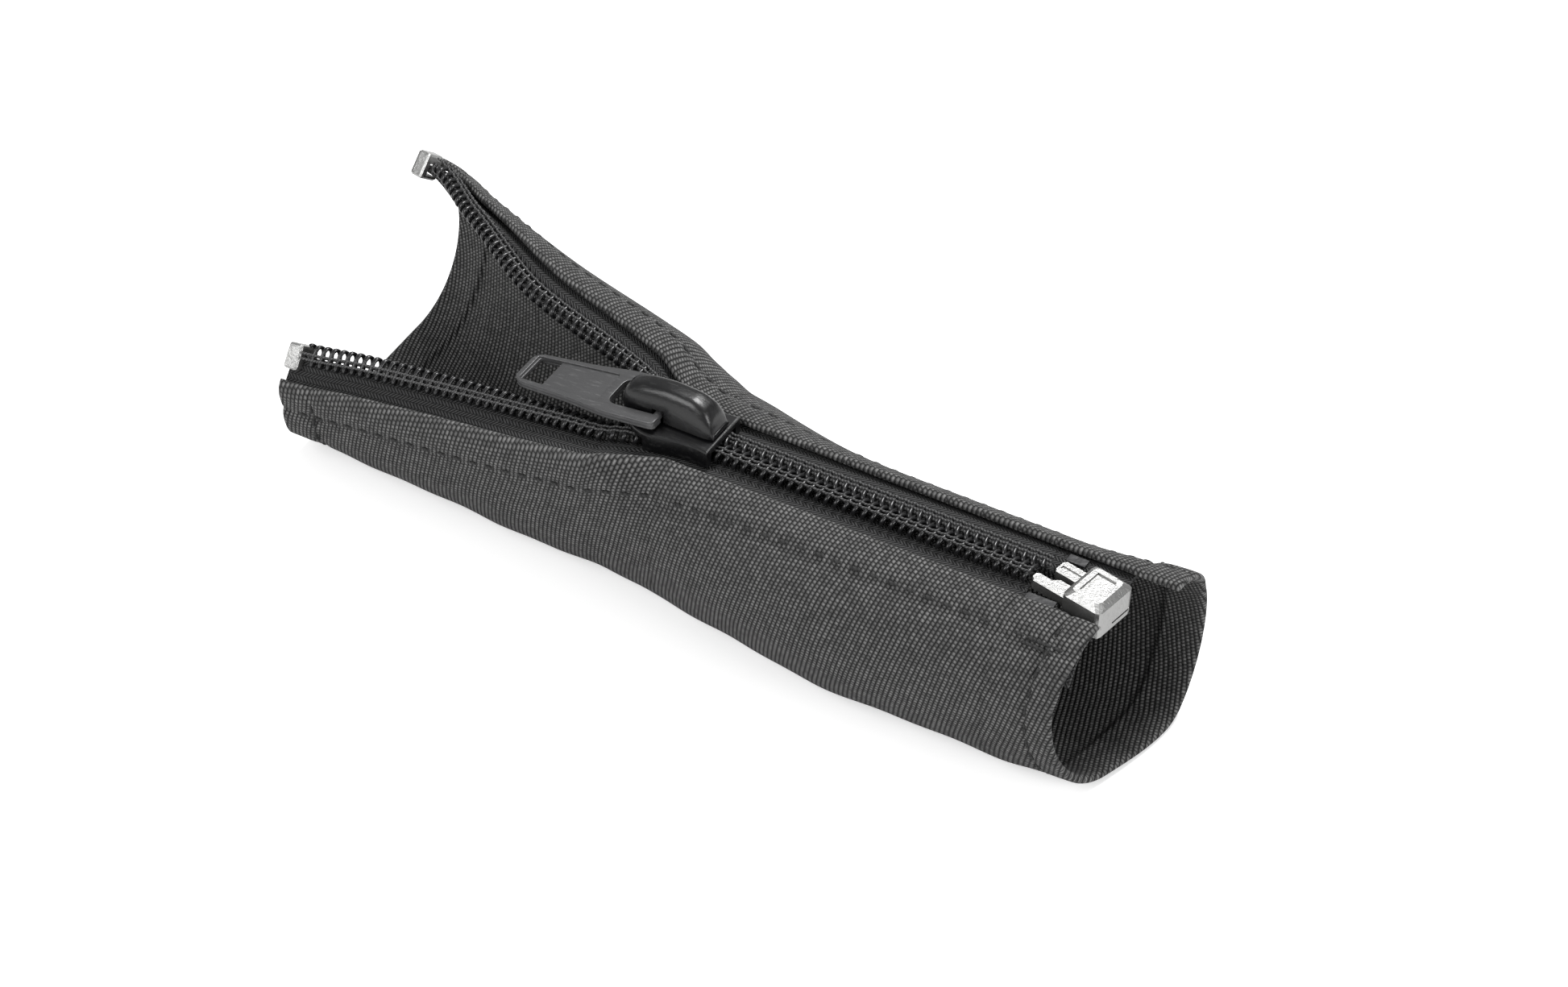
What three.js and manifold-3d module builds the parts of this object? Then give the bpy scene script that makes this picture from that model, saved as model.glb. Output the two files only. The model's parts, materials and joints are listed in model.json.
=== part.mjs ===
// Zippered cable sleeve: a woven tube that a coil zip closes, lying on its side with the zip run
// part of the way down it. Millimetres, +Z up, +X along the zip towards the retainer box.
import * as THREE from "three";
import { mergeVertices } from "three/addons/utils/BufferGeometryUtils.js";
import Module from "manifold-3d";

const wasm = await Module();
wasm.setup();

// Sleeve
const OPEN_LENGTH = 72; // from the slider's closed end to the far hem
const CLOSED_LENGTH = 69.5; // from the slider's closed end to the mouth
const CLOTH_GIRTH = 95; // round the section, from head line to head line of the zip
const ZIP_HEIGHT = 27; // top of the zip tape above the ground, where the zip is closed
const CLOTH = 0.8; // woven cloth
const HEM_EXTRA = 0.5; // what the turned edge adds to the cloth
const ZIP_HEM_WIDTH = 4.8; // from the fold beside the zip to its seam
const MOUTH_HEM_WIDTH = 6;
const LAP_GAP = 0.4; // between the tape and the cloth sewn over it
const FOLD_DISTANCE = 6; // from the zip's centre line to the cloth's folded edge

// Zip: a number 5 coil chain
const PITCH = 1.5;
const WIRE = 0.6; // diameter of the monofilament
const COIL_WIDTH = 3.6;
const COIL_HEIGHT = 2;
const HEAD_OVERLAP = 0.8; // how far the two rows of heads reach past each other
const COIL_LIFT = 0.3; // from the tape to the lowest side of the coil
const CORE = 0.5; // diameter of the cord inside the coil
const TAPE = 0.6;
const TAPE_WIDTH = 13.5;
const TAPE_INSET = 1.75; // from the head line to the tape's inner edge
const SEGMENTS = 6; // straight pieces in a turn of the coil
const FLAT_WIDTH = 5.8; // the chain and the seams keep the tape flat this far from its head line

// Box and pins at the closed end
const BOX_LENGTH = 6.6;
const BOX_WIDTH = 7.8;
const BOX_RISE = 3.6; // of its top above the tape
const BOX_THICK = 5.8;
const BOX_BEVEL = 0.9;
const BOX_FOOT = 0.35; // rounding of the lower edges
const BOX_CORNER = 0.8;
const BOX_RIM = 0.8; // round the recess in the top
const BOX_RECESS = 0.35;
const BOX_SETBACK = 5.8; // from the mouth to the box
const BOX_TURN = 10; // degrees, towards the front
const BOX_DIP = 2; // degrees
const PIN_LENGTH = 6.3; // of the retainer pin, outside the box
const PIN_STAGGER = PITCH; // by which the insertion pin is shorter
const PIN_DEPTH = 3.2; // inside the box
const PIN_WIDTH = 2.6;
const PIN_THICK = 1.9;
const PIN_GAP = 1;
const PIN_NOTCH = 0.8; // room for the last heads of the other row
const SEAT = 0.3; // clearance of a seated piece
const FILM = 0.25;

// Slider
const SLIDER_LENGTH = 14.2;
const SLIDER_EXIT_WIDTH = 9.4;
const SLIDER_SHOULDER_WIDTH = 11.2;
const SLIDER_NOSE_WIDTH = 8.4;
const PLATE = 1;
const CHANNEL_ROOM = 0.25; // around the chain inside the slider
const DIAMOND_WIDTH = 2;
const DIAMOND_LENGTH = 6.2;
const FLANGE = 0.7;
const COVER_LENGTH = 15.4;
const COVER_WIDTH = 5;
const COVER_HEIGHT = 5.6; // above the top plate
const COVER_WALL = 0.7;
const HINGE_BACK = 9.5; // from the slider's closed end to the tab's pin
const HINGE_RISE = 1.25; // of the pin's middle above the top plate
const HINGE_PIN = 1.3; // diameter

// Pull tab
const TAB_LENGTH = 24.3; // from the pin's middle to the tip
const TAB_TIP_WIDTH = 7;
const TAB_BASE_WIDTH = 10.2;
const TAB_THICK = 1.3;
const TAB_DROOP = 7.5; // degrees
const TAB_RIM = 0.75;
const TAB_RECESS = 0.3;
const WINDOW_LENGTH = 8.2;
const WINDOW_WIDTH = 5.8;
const TIP_HOLE_LENGTH = 3.6;

// Places along the sleeve
const FAR_X = -(OPEN_LENGTH + CLOSED_LENGTH) / 2;
const EXIT_X = FAR_X + OPEN_LENGTH;
const MOUTH_X = EXIT_X + CLOSED_LENGTH;
const BOX_X = MOUTH_X - BOX_SETBACK - BOX_LENGTH;
const CHAIN_END = BOX_X - PIN_LENGTH;
const JUNCTION_X = EXIT_X - 0.36 * SLIDER_LENGTH; // where the two rows meet inside the slider
const TAPE_END = BOX_X + 0.8 * BOX_LENGTH;
const BOX_PIVOT = BOX_X - PIN_LENGTH / 2; // the box and its pins are turned about this place
const PIN_RISE = 0.5; // of the pins' middle above the tape
const PIN_INSET = 3.9; // the tapes are cut back this far from the centre line beside the pins
const STOP_LENGTH = 2.4;
const FAR_HEM = 6;
const HEM_STEP = 0.8; // over which a hem's extra thickness runs out
const NOTCH_RUN = 1.3; // over which the tape's edge turns away before the box

// Heights and places across the zip, from the top of the tape and the zip's centre line
const COIL_TOP = COIL_LIFT + COIL_HEIGHT;
const COIL_MIDDLE = COIL_LIFT + COIL_HEIGHT / 2;
const COIL_CENTRE = (COIL_WIDTH - HEAD_OVERLAP) / 2;
const COIL_OUTSIDE = COIL_CENTRE + COIL_WIDTH / 2;
const PLATE_UNDER = COIL_TOP + CHANNEL_ROOM;
const PLATE_TOP = PLATE_UNDER + PLATE;
const FLOOR_TOP = -TAPE - CHANNEL_ROOM;
const COVER_TOP = PLATE_TOP + COVER_HEIGHT;

// How the section changes along the sleeve. Across and rise are measured from the closed zip:
// where each row's head line runs, how its tape slopes away (degrees), how far that slope
// carries, where each side is widest, and how far the bottom's flat lies inside the sides.
const STATIONS = [
  {
    x: FAR_X,
    front: { edge: [-3.7, -6.5], slope: -50, carry: 2, side: [-7.4, -16.5], turn: 10 },
    rear: { edge: [28.5, 6], slope: -38, carry: 1, sideRise: -12, turn: 13 },
  },
  {
    x: EXIT_X - 0.8 * OPEN_LENGTH,
    front: { edge: [-3.6, -4.4], slope: -42, carry: 2.3, side: [-8.3, -15.8], turn: 9.5 },
    rear: { edge: [20.7, 5.5], slope: -18, carry: 1, sideRise: -9.5, turn: 12.5 },
  },
  {
    x: EXIT_X - 0.55 * OPEN_LENGTH,
    front: { edge: [-3.3, -2.3], slope: -32, carry: 2.5, side: [-9.3, -15], turn: 9 },
    rear: { edge: [11.4, 3.5], slope: 8, carry: 2.5, sideRise: -8, turn: 12 },
  },
  {
    x: EXIT_X - 1.6 * SLIDER_LENGTH,
    front: { edge: [-3.5, -0.9], slope: -12, carry: 1.5, side: [-10, -14], turn: 9 },
    rear: { edge: [6.9, 1.9], slope: 6, carry: 4.5, sideRise: -9, turn: 11 },
  },
  {
    x: EXIT_X - 1.2 * SLIDER_LENGTH,
    front: { edge: [-3.8, -0.4], slope: -5, carry: 1.7, side: [-10.2, -14], turn: 9 },
    rear: { edge: [5.2, 1.2], slope: 5, carry: 5.5, sideRise: -9.5, turn: 11 },
  },
  {
    x: EXIT_X - 0.95 * SLIDER_LENGTH,
    front: { edge: [-3, 0], slope: 0, carry: 2, side: [-10.4, -14], turn: 9 },
    rear: { edge: [3.3, 0.3], slope: 2, carry: 6.5, sideRise: -10, turn: 11 },
  },
  {
    x: EXIT_X - 0.7 * SLIDER_LENGTH,
    front: { edge: [-1.5, 0], slope: 0, carry: 2, side: [-10.6, -14], turn: 9 },
    rear: { edge: [1.5, 0], slope: 0, carry: 6.5, sideRise: -10.5, turn: 11 },
  },
  {
    x: JUNCTION_X,
    front: { edge: [0, 0], slope: 0, carry: 2.5, side: [-11.5, -13.5], turn: 9 },
    rear: { edge: [0, 0], slope: 0, carry: 5, sideRise: -11, turn: 11 },
  },
  {
    x: EXIT_X + 0.2 * CLOSED_LENGTH,
    front: { edge: [0, 0], slope: 0, carry: 4.5, side: [-15, -13], turn: 9 },
    rear: { edge: [0, 0], slope: 0, carry: 1, sideRise: -13, turn: 11 },
  },
  {
    x: EXIT_X + 0.35 * CLOSED_LENGTH,
    front: { edge: [0, 0], slope: 0, carry: 5, side: [-16, -13], turn: 9 },
    rear: { edge: [0, 0], slope: 0, carry: 0.5, sideRise: -13, turn: 11 },
  },
  {
    x: EXIT_X + 0.75 * CLOSED_LENGTH,
    front: { edge: [0, 0], slope: 0, carry: 5, side: [-15.7, -13], turn: 9 },
    rear: { edge: [0, 0], slope: 0, carry: 0.5, sideRise: -13, turn: 11 },
  },
  {
    x: MOUTH_X,
    front: { edge: [0, 0], slope: 0, carry: 4.5, side: [-15.2, -13.5], turn: 9 },
    rear: { edge: [0, 0], slope: 0, carry: 4.5, sideRise: -11, turn: 10 },
  },
];

const MATERIALS = {
  cloth: { color: 0x4a4a4c, roughness: 0.95, metalness: 0 },
  tape: { color: 0x1c1c1e, roughness: 0.9, metalness: 0 },
  coil: { color: 0x0c0c0e, roughness: 0.25, metalness: 0 },
  core: { color: 0x242426, roughness: 0.9, metalness: 0 },
  film: { color: 0x2a2a2e, roughness: 0.4, metalness: 0 },
  silver: { color: 0xd4d5d3, roughness: 0.35, metalness: 0.9 },
  blackMetal: { color: 0x121214, roughness: 0.2, metalness: 0.6 },
  greyMetal: { color: 0x4c4d50, roughness: 0.4, metalness: 0.6 },
  spring: { color: 0x8f9092, roughness: 0.3, metalness: 1 },
};

const sleeve = new THREE.Group();

function addMesh(parent, name, geometry, finish) {
  const mesh = new THREE.Mesh(geometry, new THREE.MeshStandardMaterial(MATERIALS[finish]));
  mesh.name = name;
  parent.add(mesh);
  return mesh;
}

// Solids: a closed geometry becomes a manifold to be joined or cut, and comes back as a geometry.
function toSolid(geometry) {
  const bare = new THREE.BufferGeometry();
  bare.setAttribute("position", geometry.getAttribute("position").clone());
  if (geometry.index) bare.setIndex(geometry.index.clone());
  const merged = mergeVertices(bare, 1e-4);
  const mesh = new wasm.Mesh({
    numProp: 3,
    vertProperties: new Float32Array(merged.getAttribute("position").array),
    triVerts: new Uint32Array(merged.index.array),
  });
  return new wasm.Manifold(mesh);
}

function toGeometry(solid) {
  const mesh = solid.getMesh();
  const geometry = new THREE.BufferGeometry();
  geometry.setAttribute("position", new THREE.BufferAttribute(mesh.vertProperties, 3));
  geometry.setIndex(new THREE.BufferAttribute(mesh.triVerts, 1));
  geometry.computeVertexNormals();
  return geometry;
}

const join = (...parts) => parts.reduce((sum, part) => sum.add(part));
const cut = (body, ...tools) => tools.reduce((left, tool) => left.subtract(tool), body);

// A box from its lowest to its highest corner.
function block(x0, x1, y0, y1, z0, z1) {
  const geometry = new THREE.BoxGeometry(x1 - x0, y1 - y0, z1 - z0);
  geometry.translate((x0 + x1) / 2, (y0 + y1) / 2, (z0 + z1) / 2);
  return toSolid(geometry);
}

// A plan outline raised from z0 to z1, its edges rounded by bevel.
function raised(shape, z0, z1, bevel = 0, bevelSegments = 2, curveSegments = 6) {
  const geometry = new THREE.ExtrudeGeometry(shape, {
    depth: z1 - z0 - 2 * bevel,
    bevelEnabled: bevel > 0,
    bevelThickness: bevel,
    bevelSize: bevel,
    bevelOffset: -bevel,
    bevelSegments,
    curveSegments,
  });
  geometry.translate(0, 0, z0 + bevel);
  return toSolid(geometry);
}

// A side outline, drawn in x and z, spread from y0 to y1.
function spread(shape, y0, y1) {
  const geometry = new THREE.ExtrudeGeometry(shape, { depth: y1 - y0, bevelEnabled: false });
  geometry.rotateX(Math.PI / 2);
  geometry.translate(0, y1, 0);
  return toSolid(geometry);
}

function rod(radius, y0, y1, x, z, sides = 14) {
  const geometry = new THREE.CylinderGeometry(radius, radius, y1 - y0, sides);
  geometry.translate(x, (y0 + y1) / 2, z);
  return toSolid(geometry);
}

function roundedRectangle(x0, x1, y0, y1, radius) {
  const shape = new THREE.Shape();
  shape.moveTo(x0 + radius, y0);
  shape.lineTo(x1 - radius, y0);
  shape.quadraticCurveTo(x1, y0, x1, y0 + radius);
  shape.lineTo(x1, y1 - radius);
  shape.quadraticCurveTo(x1, y1, x1 - radius, y1);
  shape.lineTo(x0 + radius, y1);
  shape.quadraticCurveTo(x0, y1, x0, y1 - radius);
  shape.lineTo(x0, y0 + radius);
  shape.quadraticCurveTo(x0, y0, x0 + radius, y0);
  return shape;
}

// A smooth value through the stations: a cubic that never overshoots between two of them.
function throughStations(read) {
  const xs = STATIONS.map((station) => station.x);
  const ys = STATIONS.map(read);
  const steps = xs.slice(1).map((x, i) => (ys[i + 1] - ys[i]) / (x - xs[i]));
  const slopes = ys.map((_, i) => {
    if (i === 0 || i === ys.length - 1) return 0;
    if (steps[i - 1] * steps[i] <= 0) return 0;
    return (2 * steps[i - 1] * steps[i]) / (steps[i - 1] + steps[i]);
  });
  return (x) => {
    if (x <= xs[0]) return ys[0];
    if (x >= xs[xs.length - 1]) return ys[ys.length - 1];
    const i = xs.findIndex((next) => next > x) - 1;
    const width = xs[i + 1] - xs[i];
    const t = (x - xs[i]) / width;
    const h = t * t * (3 - 2 * t);
    const bend = slopes[i] * t * (1 - t) * (1 - t) - slopes[i + 1] * t * t * (1 - t);
    return ys[i] + (ys[i + 1] - ys[i]) * h + width * bend;
  };
}

const FORM = {
  frontAcross: throughStations((s) => s.front.edge[0]),
  frontRise: throughStations((s) => s.front.edge[1]),
  frontSlope: throughStations((s) => s.front.slope),
  frontCarry: throughStations((s) => s.front.carry),
  frontSideAcross: throughStations((s) => s.front.side[0]),
  frontSideRise: throughStations((s) => s.front.side[1]),
  frontTurn: throughStations((s) => s.front.turn),
  rearAcross: throughStations((s) => s.rear.edge[0]),
  rearRise: throughStations((s) => s.rear.edge[1]),
  rearSlope: throughStations((s) => s.rear.slope),
  rearCarry: throughStations((s) => s.rear.carry),
  rearSideRise: throughStations((s) => s.rear.sideRise),
  rearTurn: throughStations((s) => s.rear.turn),
};

const ROUND = 0.55; // handle of a cubic that draws a quarter turn
const GROUND_LINE = CLOTH + LAP_GAP; // height of the tape's layer where the cloth lies flat

// The two ends of a section: where the head line is, which way the tape leaves it, and how far
// the chain keeps the tape flat.
function edgeOf(side, x) {
  const across = side < 0 ? FORM.frontAcross(x) : FORM.rearAcross(x);
  const rise = side < 0 ? FORM.frontRise(x) : FORM.rearRise(x);
  const slope = THREE.MathUtils.degToRad(side < 0 ? FORM.frontSlope(x) : FORM.rearSlope(x));
  const at = new THREE.Vector2(across, ZIP_HEIGHT + rise);
  const away = new THREE.Vector2(side * Math.cos(slope), Math.sin(slope));
  return { at, away, flat: at.clone().addScaledVector(away, FLAT_WIDTH) };
}

// The section's line from the front head line, under the sleeve, to the rear one, in y and z.
function sectionLine(x, rearAcross) {
  const front = edgeOf(-1, x);
  const rear = edgeOf(1, x);
  const frontSide = new THREE.Vector2(FORM.frontSideAcross(x), ZIP_HEIGHT + FORM.frontSideRise(x));
  const rearSide = new THREE.Vector2(rearAcross, ZIP_HEIGHT + FORM.rearSideRise(x));
  const flatStart = new THREE.Vector2(frontSide.x + FORM.frontTurn(x), GROUND_LINE);
  const flatEnd = new THREE.Vector2(rearSide.x - FORM.rearTurn(x), GROUND_LINE);
  const line = new THREE.CurvePath();
  line.add(new THREE.LineCurve(front.at, front.flat));
  line.add(edgeToSide(front, FORM.frontCarry(x), frontSide));
  line.add(sideToFlat(frontSide, flatStart));
  line.add(new THREE.LineCurve(flatStart, flatEnd));
  line.add(reversed(sideToFlat(rearSide, flatEnd)));
  line.add(reversed(edgeToSide(rear, FORM.rearCarry(x), rearSide)));
  line.add(new THREE.LineCurve(rear.flat, rear.at));
  return line;
}

function edgeToSide(edge, carry, side) {
  const drop = Math.abs(edge.flat.y - side.y) * ROUND;
  const leave = edge.flat.clone().addScaledVector(edge.away, carry);
  const arrive = new THREE.Vector2(side.x, side.y + drop);
  return new THREE.CubicBezierCurve(edge.flat, leave, arrive, side);
}

function sideToFlat(side, flat) {
  const leave = new THREE.Vector2(side.x, side.y + (flat.y - side.y) * ROUND);
  const arrive = new THREE.Vector2(flat.x + (side.x - flat.x) * ROUND, flat.y);
  return new THREE.CubicBezierCurve(side, leave, arrive, flat);
}

const reversed = (curve) => new THREE.CubicBezierCurve(curve.v3, curve.v2, curve.v1, curve.v0);

// The rear side stands as far out as the cloth's own width lets it.
function sectionAt(x) {
  let near = FORM.rearAcross(x) - CLOTH_GIRTH / 4;
  let far = FORM.rearAcross(x) + CLOTH_GIRTH / 2;
  for (let i = 0; i < 22; i++) {
    const middle = (near + far) / 2;
    if (sectionLine(x, middle).getLength() < CLOTH_GIRTH) near = middle;
    else far = middle;
  }
  return sectionLine(x, near);
}

const SECTION_CACHE = new Map();
function cachedSection(x) {
  if (!SECTION_CACHE.has(x)) SECTION_CACHE.set(x, sectionAt(x));
  return SECTION_CACHE.get(x);
}

// A point of the sleeve: distance is measured along the section from the front head line, and
// lift is measured outwards from the tape's upper face.
function sleevePoint(x, distance, lift) {
  const line = cachedSection(x);
  const share = THREE.MathUtils.clamp(distance / line.getLength(), 0, 1);
  const at = line.getPointAt(share);
  const along = line.getTangentAt(share);
  return new THREE.Vector3(x, at.x + along.y * lift, at.y - along.x * lift);
}

// A closed body between two grids of points that have the same rows and columns.
function gridBody(outer, inner) {
  const rows = outer.length;
  const columns = outer[0].length;
  const positions = [];
  for (const p of [outer, inner].flat(2)) positions.push(p.x, p.y, p.z);
  const under = rows * columns;
  const index = [];
  const quad = (a, b, c, d) => index.push(a, b, c, a, c, d);
  for (let i = 0; i < rows - 1; i++) {
    for (let j = 0; j < columns - 1; j++) {
      const a = i * columns + j;
      quad(a, a + 1, a + columns + 1, a + columns);
      quad(under + a, under + a + columns, under + a + columns + 1, under + a + 1);
    }
  }
  const rim = [];
  for (let j = 0; j < columns - 1; j++) rim.push(j);
  for (let i = 0; i < rows - 1; i++) rim.push(i * columns + columns - 1);
  for (let j = columns - 1; j > 0; j--) rim.push((rows - 1) * columns + j);
  for (let i = rows - 1; i > 0; i--) rim.push(i * columns);
  rim.forEach((a, k) => {
    const b = rim[(k + 1) % rim.length];
    quad(a, under + a, under + b, b);
  });
  return facingOut(positions, index);
}

// A tube through rings of points, closed at both ends.
function ringBody(rings) {
  const sides = rings[0].length;
  const positions = rings.flatMap((ring) => ring.flatMap((p) => [p.x, p.y, p.z]));
  const index = [];
  for (let i = 0; i < rings.length - 1; i++) {
    for (let k = 0; k < sides; k++) {
      const a = i * sides + k;
      const b = i * sides + ((k + 1) % sides);
      index.push(a, b, b + sides, a, b + sides, a + sides);
    }
  }
  const last = (rings.length - 1) * sides;
  for (let k = 1; k < sides - 1; k++) {
    index.push(0, k + 1, k);
    index.push(last, last + k, last + k + 1);
  }
  return facingOut(positions, index);
}

function facingOut(positions, index) {
  let volume = 0;
  const a = new THREE.Vector3();
  const b = new THREE.Vector3();
  const c = new THREE.Vector3();
  for (let i = 0; i < index.length; i += 3) {
    a.fromArray(positions, index[i] * 3);
    b.fromArray(positions, index[i + 1] * 3);
    c.fromArray(positions, index[i + 2] * 3);
    volume += a.dot(b.cross(c));
  }
  if (volume < 0) index.reverse();
  const geometry = new THREE.BufferGeometry();
  geometry.setAttribute("position", new THREE.Float32BufferAttribute(positions, 3));
  geometry.setIndex(index);
  geometry.computeVertexNormals();
  return geometry;
}

// Places along the sleeve, close together where the section changes quickly and at the hems.
function evenly(from, to, step) {
  const count = Math.max(1, Math.round((to - from) / step));
  return Array.from({ length: count }, (_, i) => from + ((to - from) * i) / count);
}

const PLACES = [
  FAR_X,
  ...evenly(FAR_X + FAR_HEM, FAR_X + FAR_HEM + HEM_STEP, HEM_STEP),
  ...evenly(FAR_X + FAR_HEM + HEM_STEP, EXIT_X + 0.4 * CLOSED_LENGTH, 5.8),
  ...evenly(EXIT_X + 0.4 * CLOSED_LENGTH, MOUTH_X - 2.5 * MOUTH_HEM_WIDTH, 7),
  ...evenly(MOUTH_X - 2.5 * MOUTH_HEM_WIDTH, MOUTH_X - MOUTH_HEM_WIDTH - HEM_STEP, 3),
  ...evenly(MOUTH_X - MOUTH_HEM_WIDTH - HEM_STEP, MOUTH_X - MOUTH_HEM_WIDTH, HEM_STEP),
  ...evenly(MOUTH_X - MOUTH_HEM_WIDTH, MOUTH_X, 3),
  MOUTH_X,
];

const placesBetween = (from, to) => [from, ...PLACES.filter((x) => x > from + 0.5 && x < to - 0.5), to];

// Woven cloth

// The mouth's rim is drawn back at the zip's front fold, further at the front side, and not at
// all from the bottom on. Share is measured round the section from the front head line.
const FOLD_DRAW = 5;
const SIDE_DRAW = 8.3;
const SIDE_SHARE = 0.2;
const BOTTOM_SHARE = 0.6;
function mouthShift(x, share) {
  const near = THREE.MathUtils.smoothstep(x, MOUTH_X - 3 * MOUTH_HEM_WIDTH, MOUTH_X);
  const toSide = THREE.MathUtils.lerp(FOLD_DRAW, SIDE_DRAW, Math.min(share / SIDE_SHARE, 1));
  return -near * toSide * (1 - THREE.MathUtils.smoothstep(share, SIDE_SHARE, BOTTOM_SHARE));
}

function clothThickness(x, fromFold) {
  const zipHem = fromFold < ZIP_HEM_WIDTH ? 1 : 0;
  const mouthHem = x > MOUTH_X - MOUTH_HEM_WIDTH - HEM_STEP / 2 ? 1 : 0;
  const farHem = x < FAR_X + FAR_HEM + HEM_STEP / 2 ? 1 : 0;
  return CLOTH + HEM_EXTRA * Math.max(zipHem, mouthHem, farHem);
}

// Columns across the cloth: close together over the tapes, which lie under the folded edges.
const TAPE_EDGE = TAPE_INSET + TAPE_WIDTH;
const SEAM = FOLD_DISTANCE + ZIP_HEM_WIDTH;
const LAP_COLUMNS = [
  FOLD_DISTANCE, FOLD_DISTANCE + ZIP_HEM_WIDTH / 2, SEAM - HEM_STEP / 2, SEAM + HEM_STEP / 2,
];

function clothColumns() {
  const lap = [...LAP_COLUMNS, TAPE_EDGE];
  const between = evenly(TAPE_EDGE, CLOTH_GIRTH - TAPE_EDGE, 5).slice(1);
  return [...lap, ...between, ...lap.reverse().map((distance) => CLOTH_GIRTH - distance)];
}

// A hem grows outwards where it lies on a tape, and inwards elsewhere.
function clothBody() {
  const columns = clothColumns();
  const outer = [];
  const inner = [];
  for (const x of PLACES) {
    const upper = [];
    const lower = [];
    for (const distance of columns) {
      const fromFold = Math.min(distance, CLOTH_GIRTH - distance) - FOLD_DISTANCE;
      const thick = clothThickness(x, fromFold);
      const onTape = fromFold < TAPE_EDGE - FOLD_DISTANCE + HEM_STEP;
      const top = LAP_GAP + (onTape ? thick : CLOTH);
      const shift = mouthShift(x, distance / CLOTH_GIRTH);
      upper.push(sleevePoint(x, distance, top).setX(x + shift));
      lower.push(sleevePoint(x, distance, top - thick).setX(x + shift));
    }
    outer.push(upper);
    inner.push(lower);
  }
  return gridBody(outer, inner);
}

// Zip tapes

// The tape's inner edge: cut back from the chain's end on, to clear the pins and the turned box.
function tapeInset(side, x) {
  if (x <= chainEnd(side) - SEAT) return TAPE_INSET;
  if (x <= BOX_X - NOTCH_RUN) return PIN_INSET;
  const turned = side < 0 ? (x - BOX_PIVOT) * Math.sin(THREE.MathUtils.degToRad(BOX_TURN)) : 0;
  return BOX_WIDTH / 2 + SEAT + turned;
}

function tapeBody(side) {
  const outer = [];
  const inner = [];
  const corners = [chainEnd(side) - SEAT, chainEnd(side), BOX_X - NOTCH_RUN, BOX_X - NOTCH_RUN / 2];
  const clearOfCorners = (x) => corners.every((corner) => Math.abs(x - corner) > 0.5);
  const places = placesBetween(FAR_X + SEAT, TAPE_END).filter(clearOfCorners).concat(corners);
  for (const x of places.sort((a, b) => a - b)) {
    const inset = tapeInset(side, x);
    const columns = [inset, (inset + FOLD_DISTANCE) / 2, ...LAP_COLUMNS, TAPE_EDGE];
    const upper = [];
    const lower = [];
    for (const across of columns) {
      const distance = side < 0 ? across : CLOTH_GIRTH - across;
      upper.push(sleevePoint(x, distance, 0));
      lower.push(sleevePoint(x, distance, -TAPE));
    }
    outer.push(upper);
    inner.push(lower);
  }
  return gridBody(outer, inner);
}

// Chain

const chainEnd = (side) => (side < 0 ? CHAIN_END : CHAIN_END + PIN_STAGGER);

// A row's head line, measured along itself from the row's closed end.
function headLine(side) {
  const step = 0.25;
  const count = Math.ceil((chainEnd(side) - FAR_X) / step);
  const places = [];
  let travelled = 0;
  for (let i = 0; i <= count; i++) {
    const x = chainEnd(side) - i * step;
    const { at, away } = edgeOf(side, x);
    const point = new THREE.Vector3(x, at.x, at.y);
    if (i > 0) travelled += point.distanceTo(places[i - 1].point);
    places.push({ point, away: new THREE.Vector3(0, away.x, away.y), travelled });
  }
  return places;
}

// Position and axes of the head line at a distance: along (towards the mouth), away and up.
function headFrame(places, distance) {
  let i = places.findIndex((place) => place.travelled > distance);
  if (i < 1) i = i < 0 ? places.length - 1 : 1;
  const before = places[i - 1];
  const after = places[i];
  const t = (distance - before.travelled) / (after.travelled - before.travelled);
  const origin = before.point.clone().lerp(after.point, t);
  const along = before.point.clone().sub(after.point).normalize();
  const away = before.away.clone().lerp(after.away, t);
  away.addScaledVector(along, -away.dot(along)).normalize();
  const up = new THREE.Vector3().crossVectors(along, away);
  if (up.z < 0) up.negate();
  return { origin, along, away, up };
}

function zipPoint(frame, across, rise) {
  return frame.origin.clone().addScaledVector(frame.away, across).addScaledVector(frame.up, rise);
}

// The coil's turn as a rounded box: steep at the head, flat over the tape.
function turnPoint(angle) {
  const squared = (value) => Math.sign(value) * Math.abs(value) ** 0.7;
  const halfWidth = (COIL_WIDTH - WIRE) / 2;
  const halfHeight = (COIL_HEIGHT - WIRE) / 2;
  return [
    COIL_CENTRE - halfWidth * squared(Math.cos(angle)),
    COIL_MIDDLE + halfHeight * squared(Math.sin(angle)),
  ];
}

function coilBody(side) {
  const places = headLine(side);
  const length = places[places.length - 1].travelled - STOP_LENGTH - 2 * SEAT;
  const start = side < 0 ? WIRE / 2 : WIRE / 2 + PITCH / 2;
  const turns = Math.floor((length - start) / PITCH);
  const centres = [];
  for (let k = 0; k <= turns * SEGMENTS; k++) {
    const frame = headFrame(places, start + (PITCH * k) / SEGMENTS);
    const [across, rise] = turnPoint(((k + 0.5) / SEGMENTS) * 2 * Math.PI);
    centres.push({ frame, at: zipPoint(frame, across, rise) });
  }
  const rings = centres.map(({ frame, at }, k) => {
    const before = centres[Math.max(k - 1, 0)].at;
    const after = centres[Math.min(k + 1, centres.length - 1)].at;
    const run = after.clone().sub(before).normalize();
    const beside = frame.along.clone().addScaledVector(run, -frame.along.dot(run)).normalize();
    const outward = new THREE.Vector3().crossVectors(run, beside);
    const ring = [];
    for (let s = 0; s < 4; s++) {
      const turn = (s / 4 + 1 / 8) * 2 * Math.PI;
      const point = at.clone().addScaledVector(beside, (Math.cos(turn) * WIRE) / 2);
      ring.push(point.addScaledVector(outward, (Math.sin(turn) * WIRE) / 2));
    }
    return ring;
  });
  return ringBody(rings);
}

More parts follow.
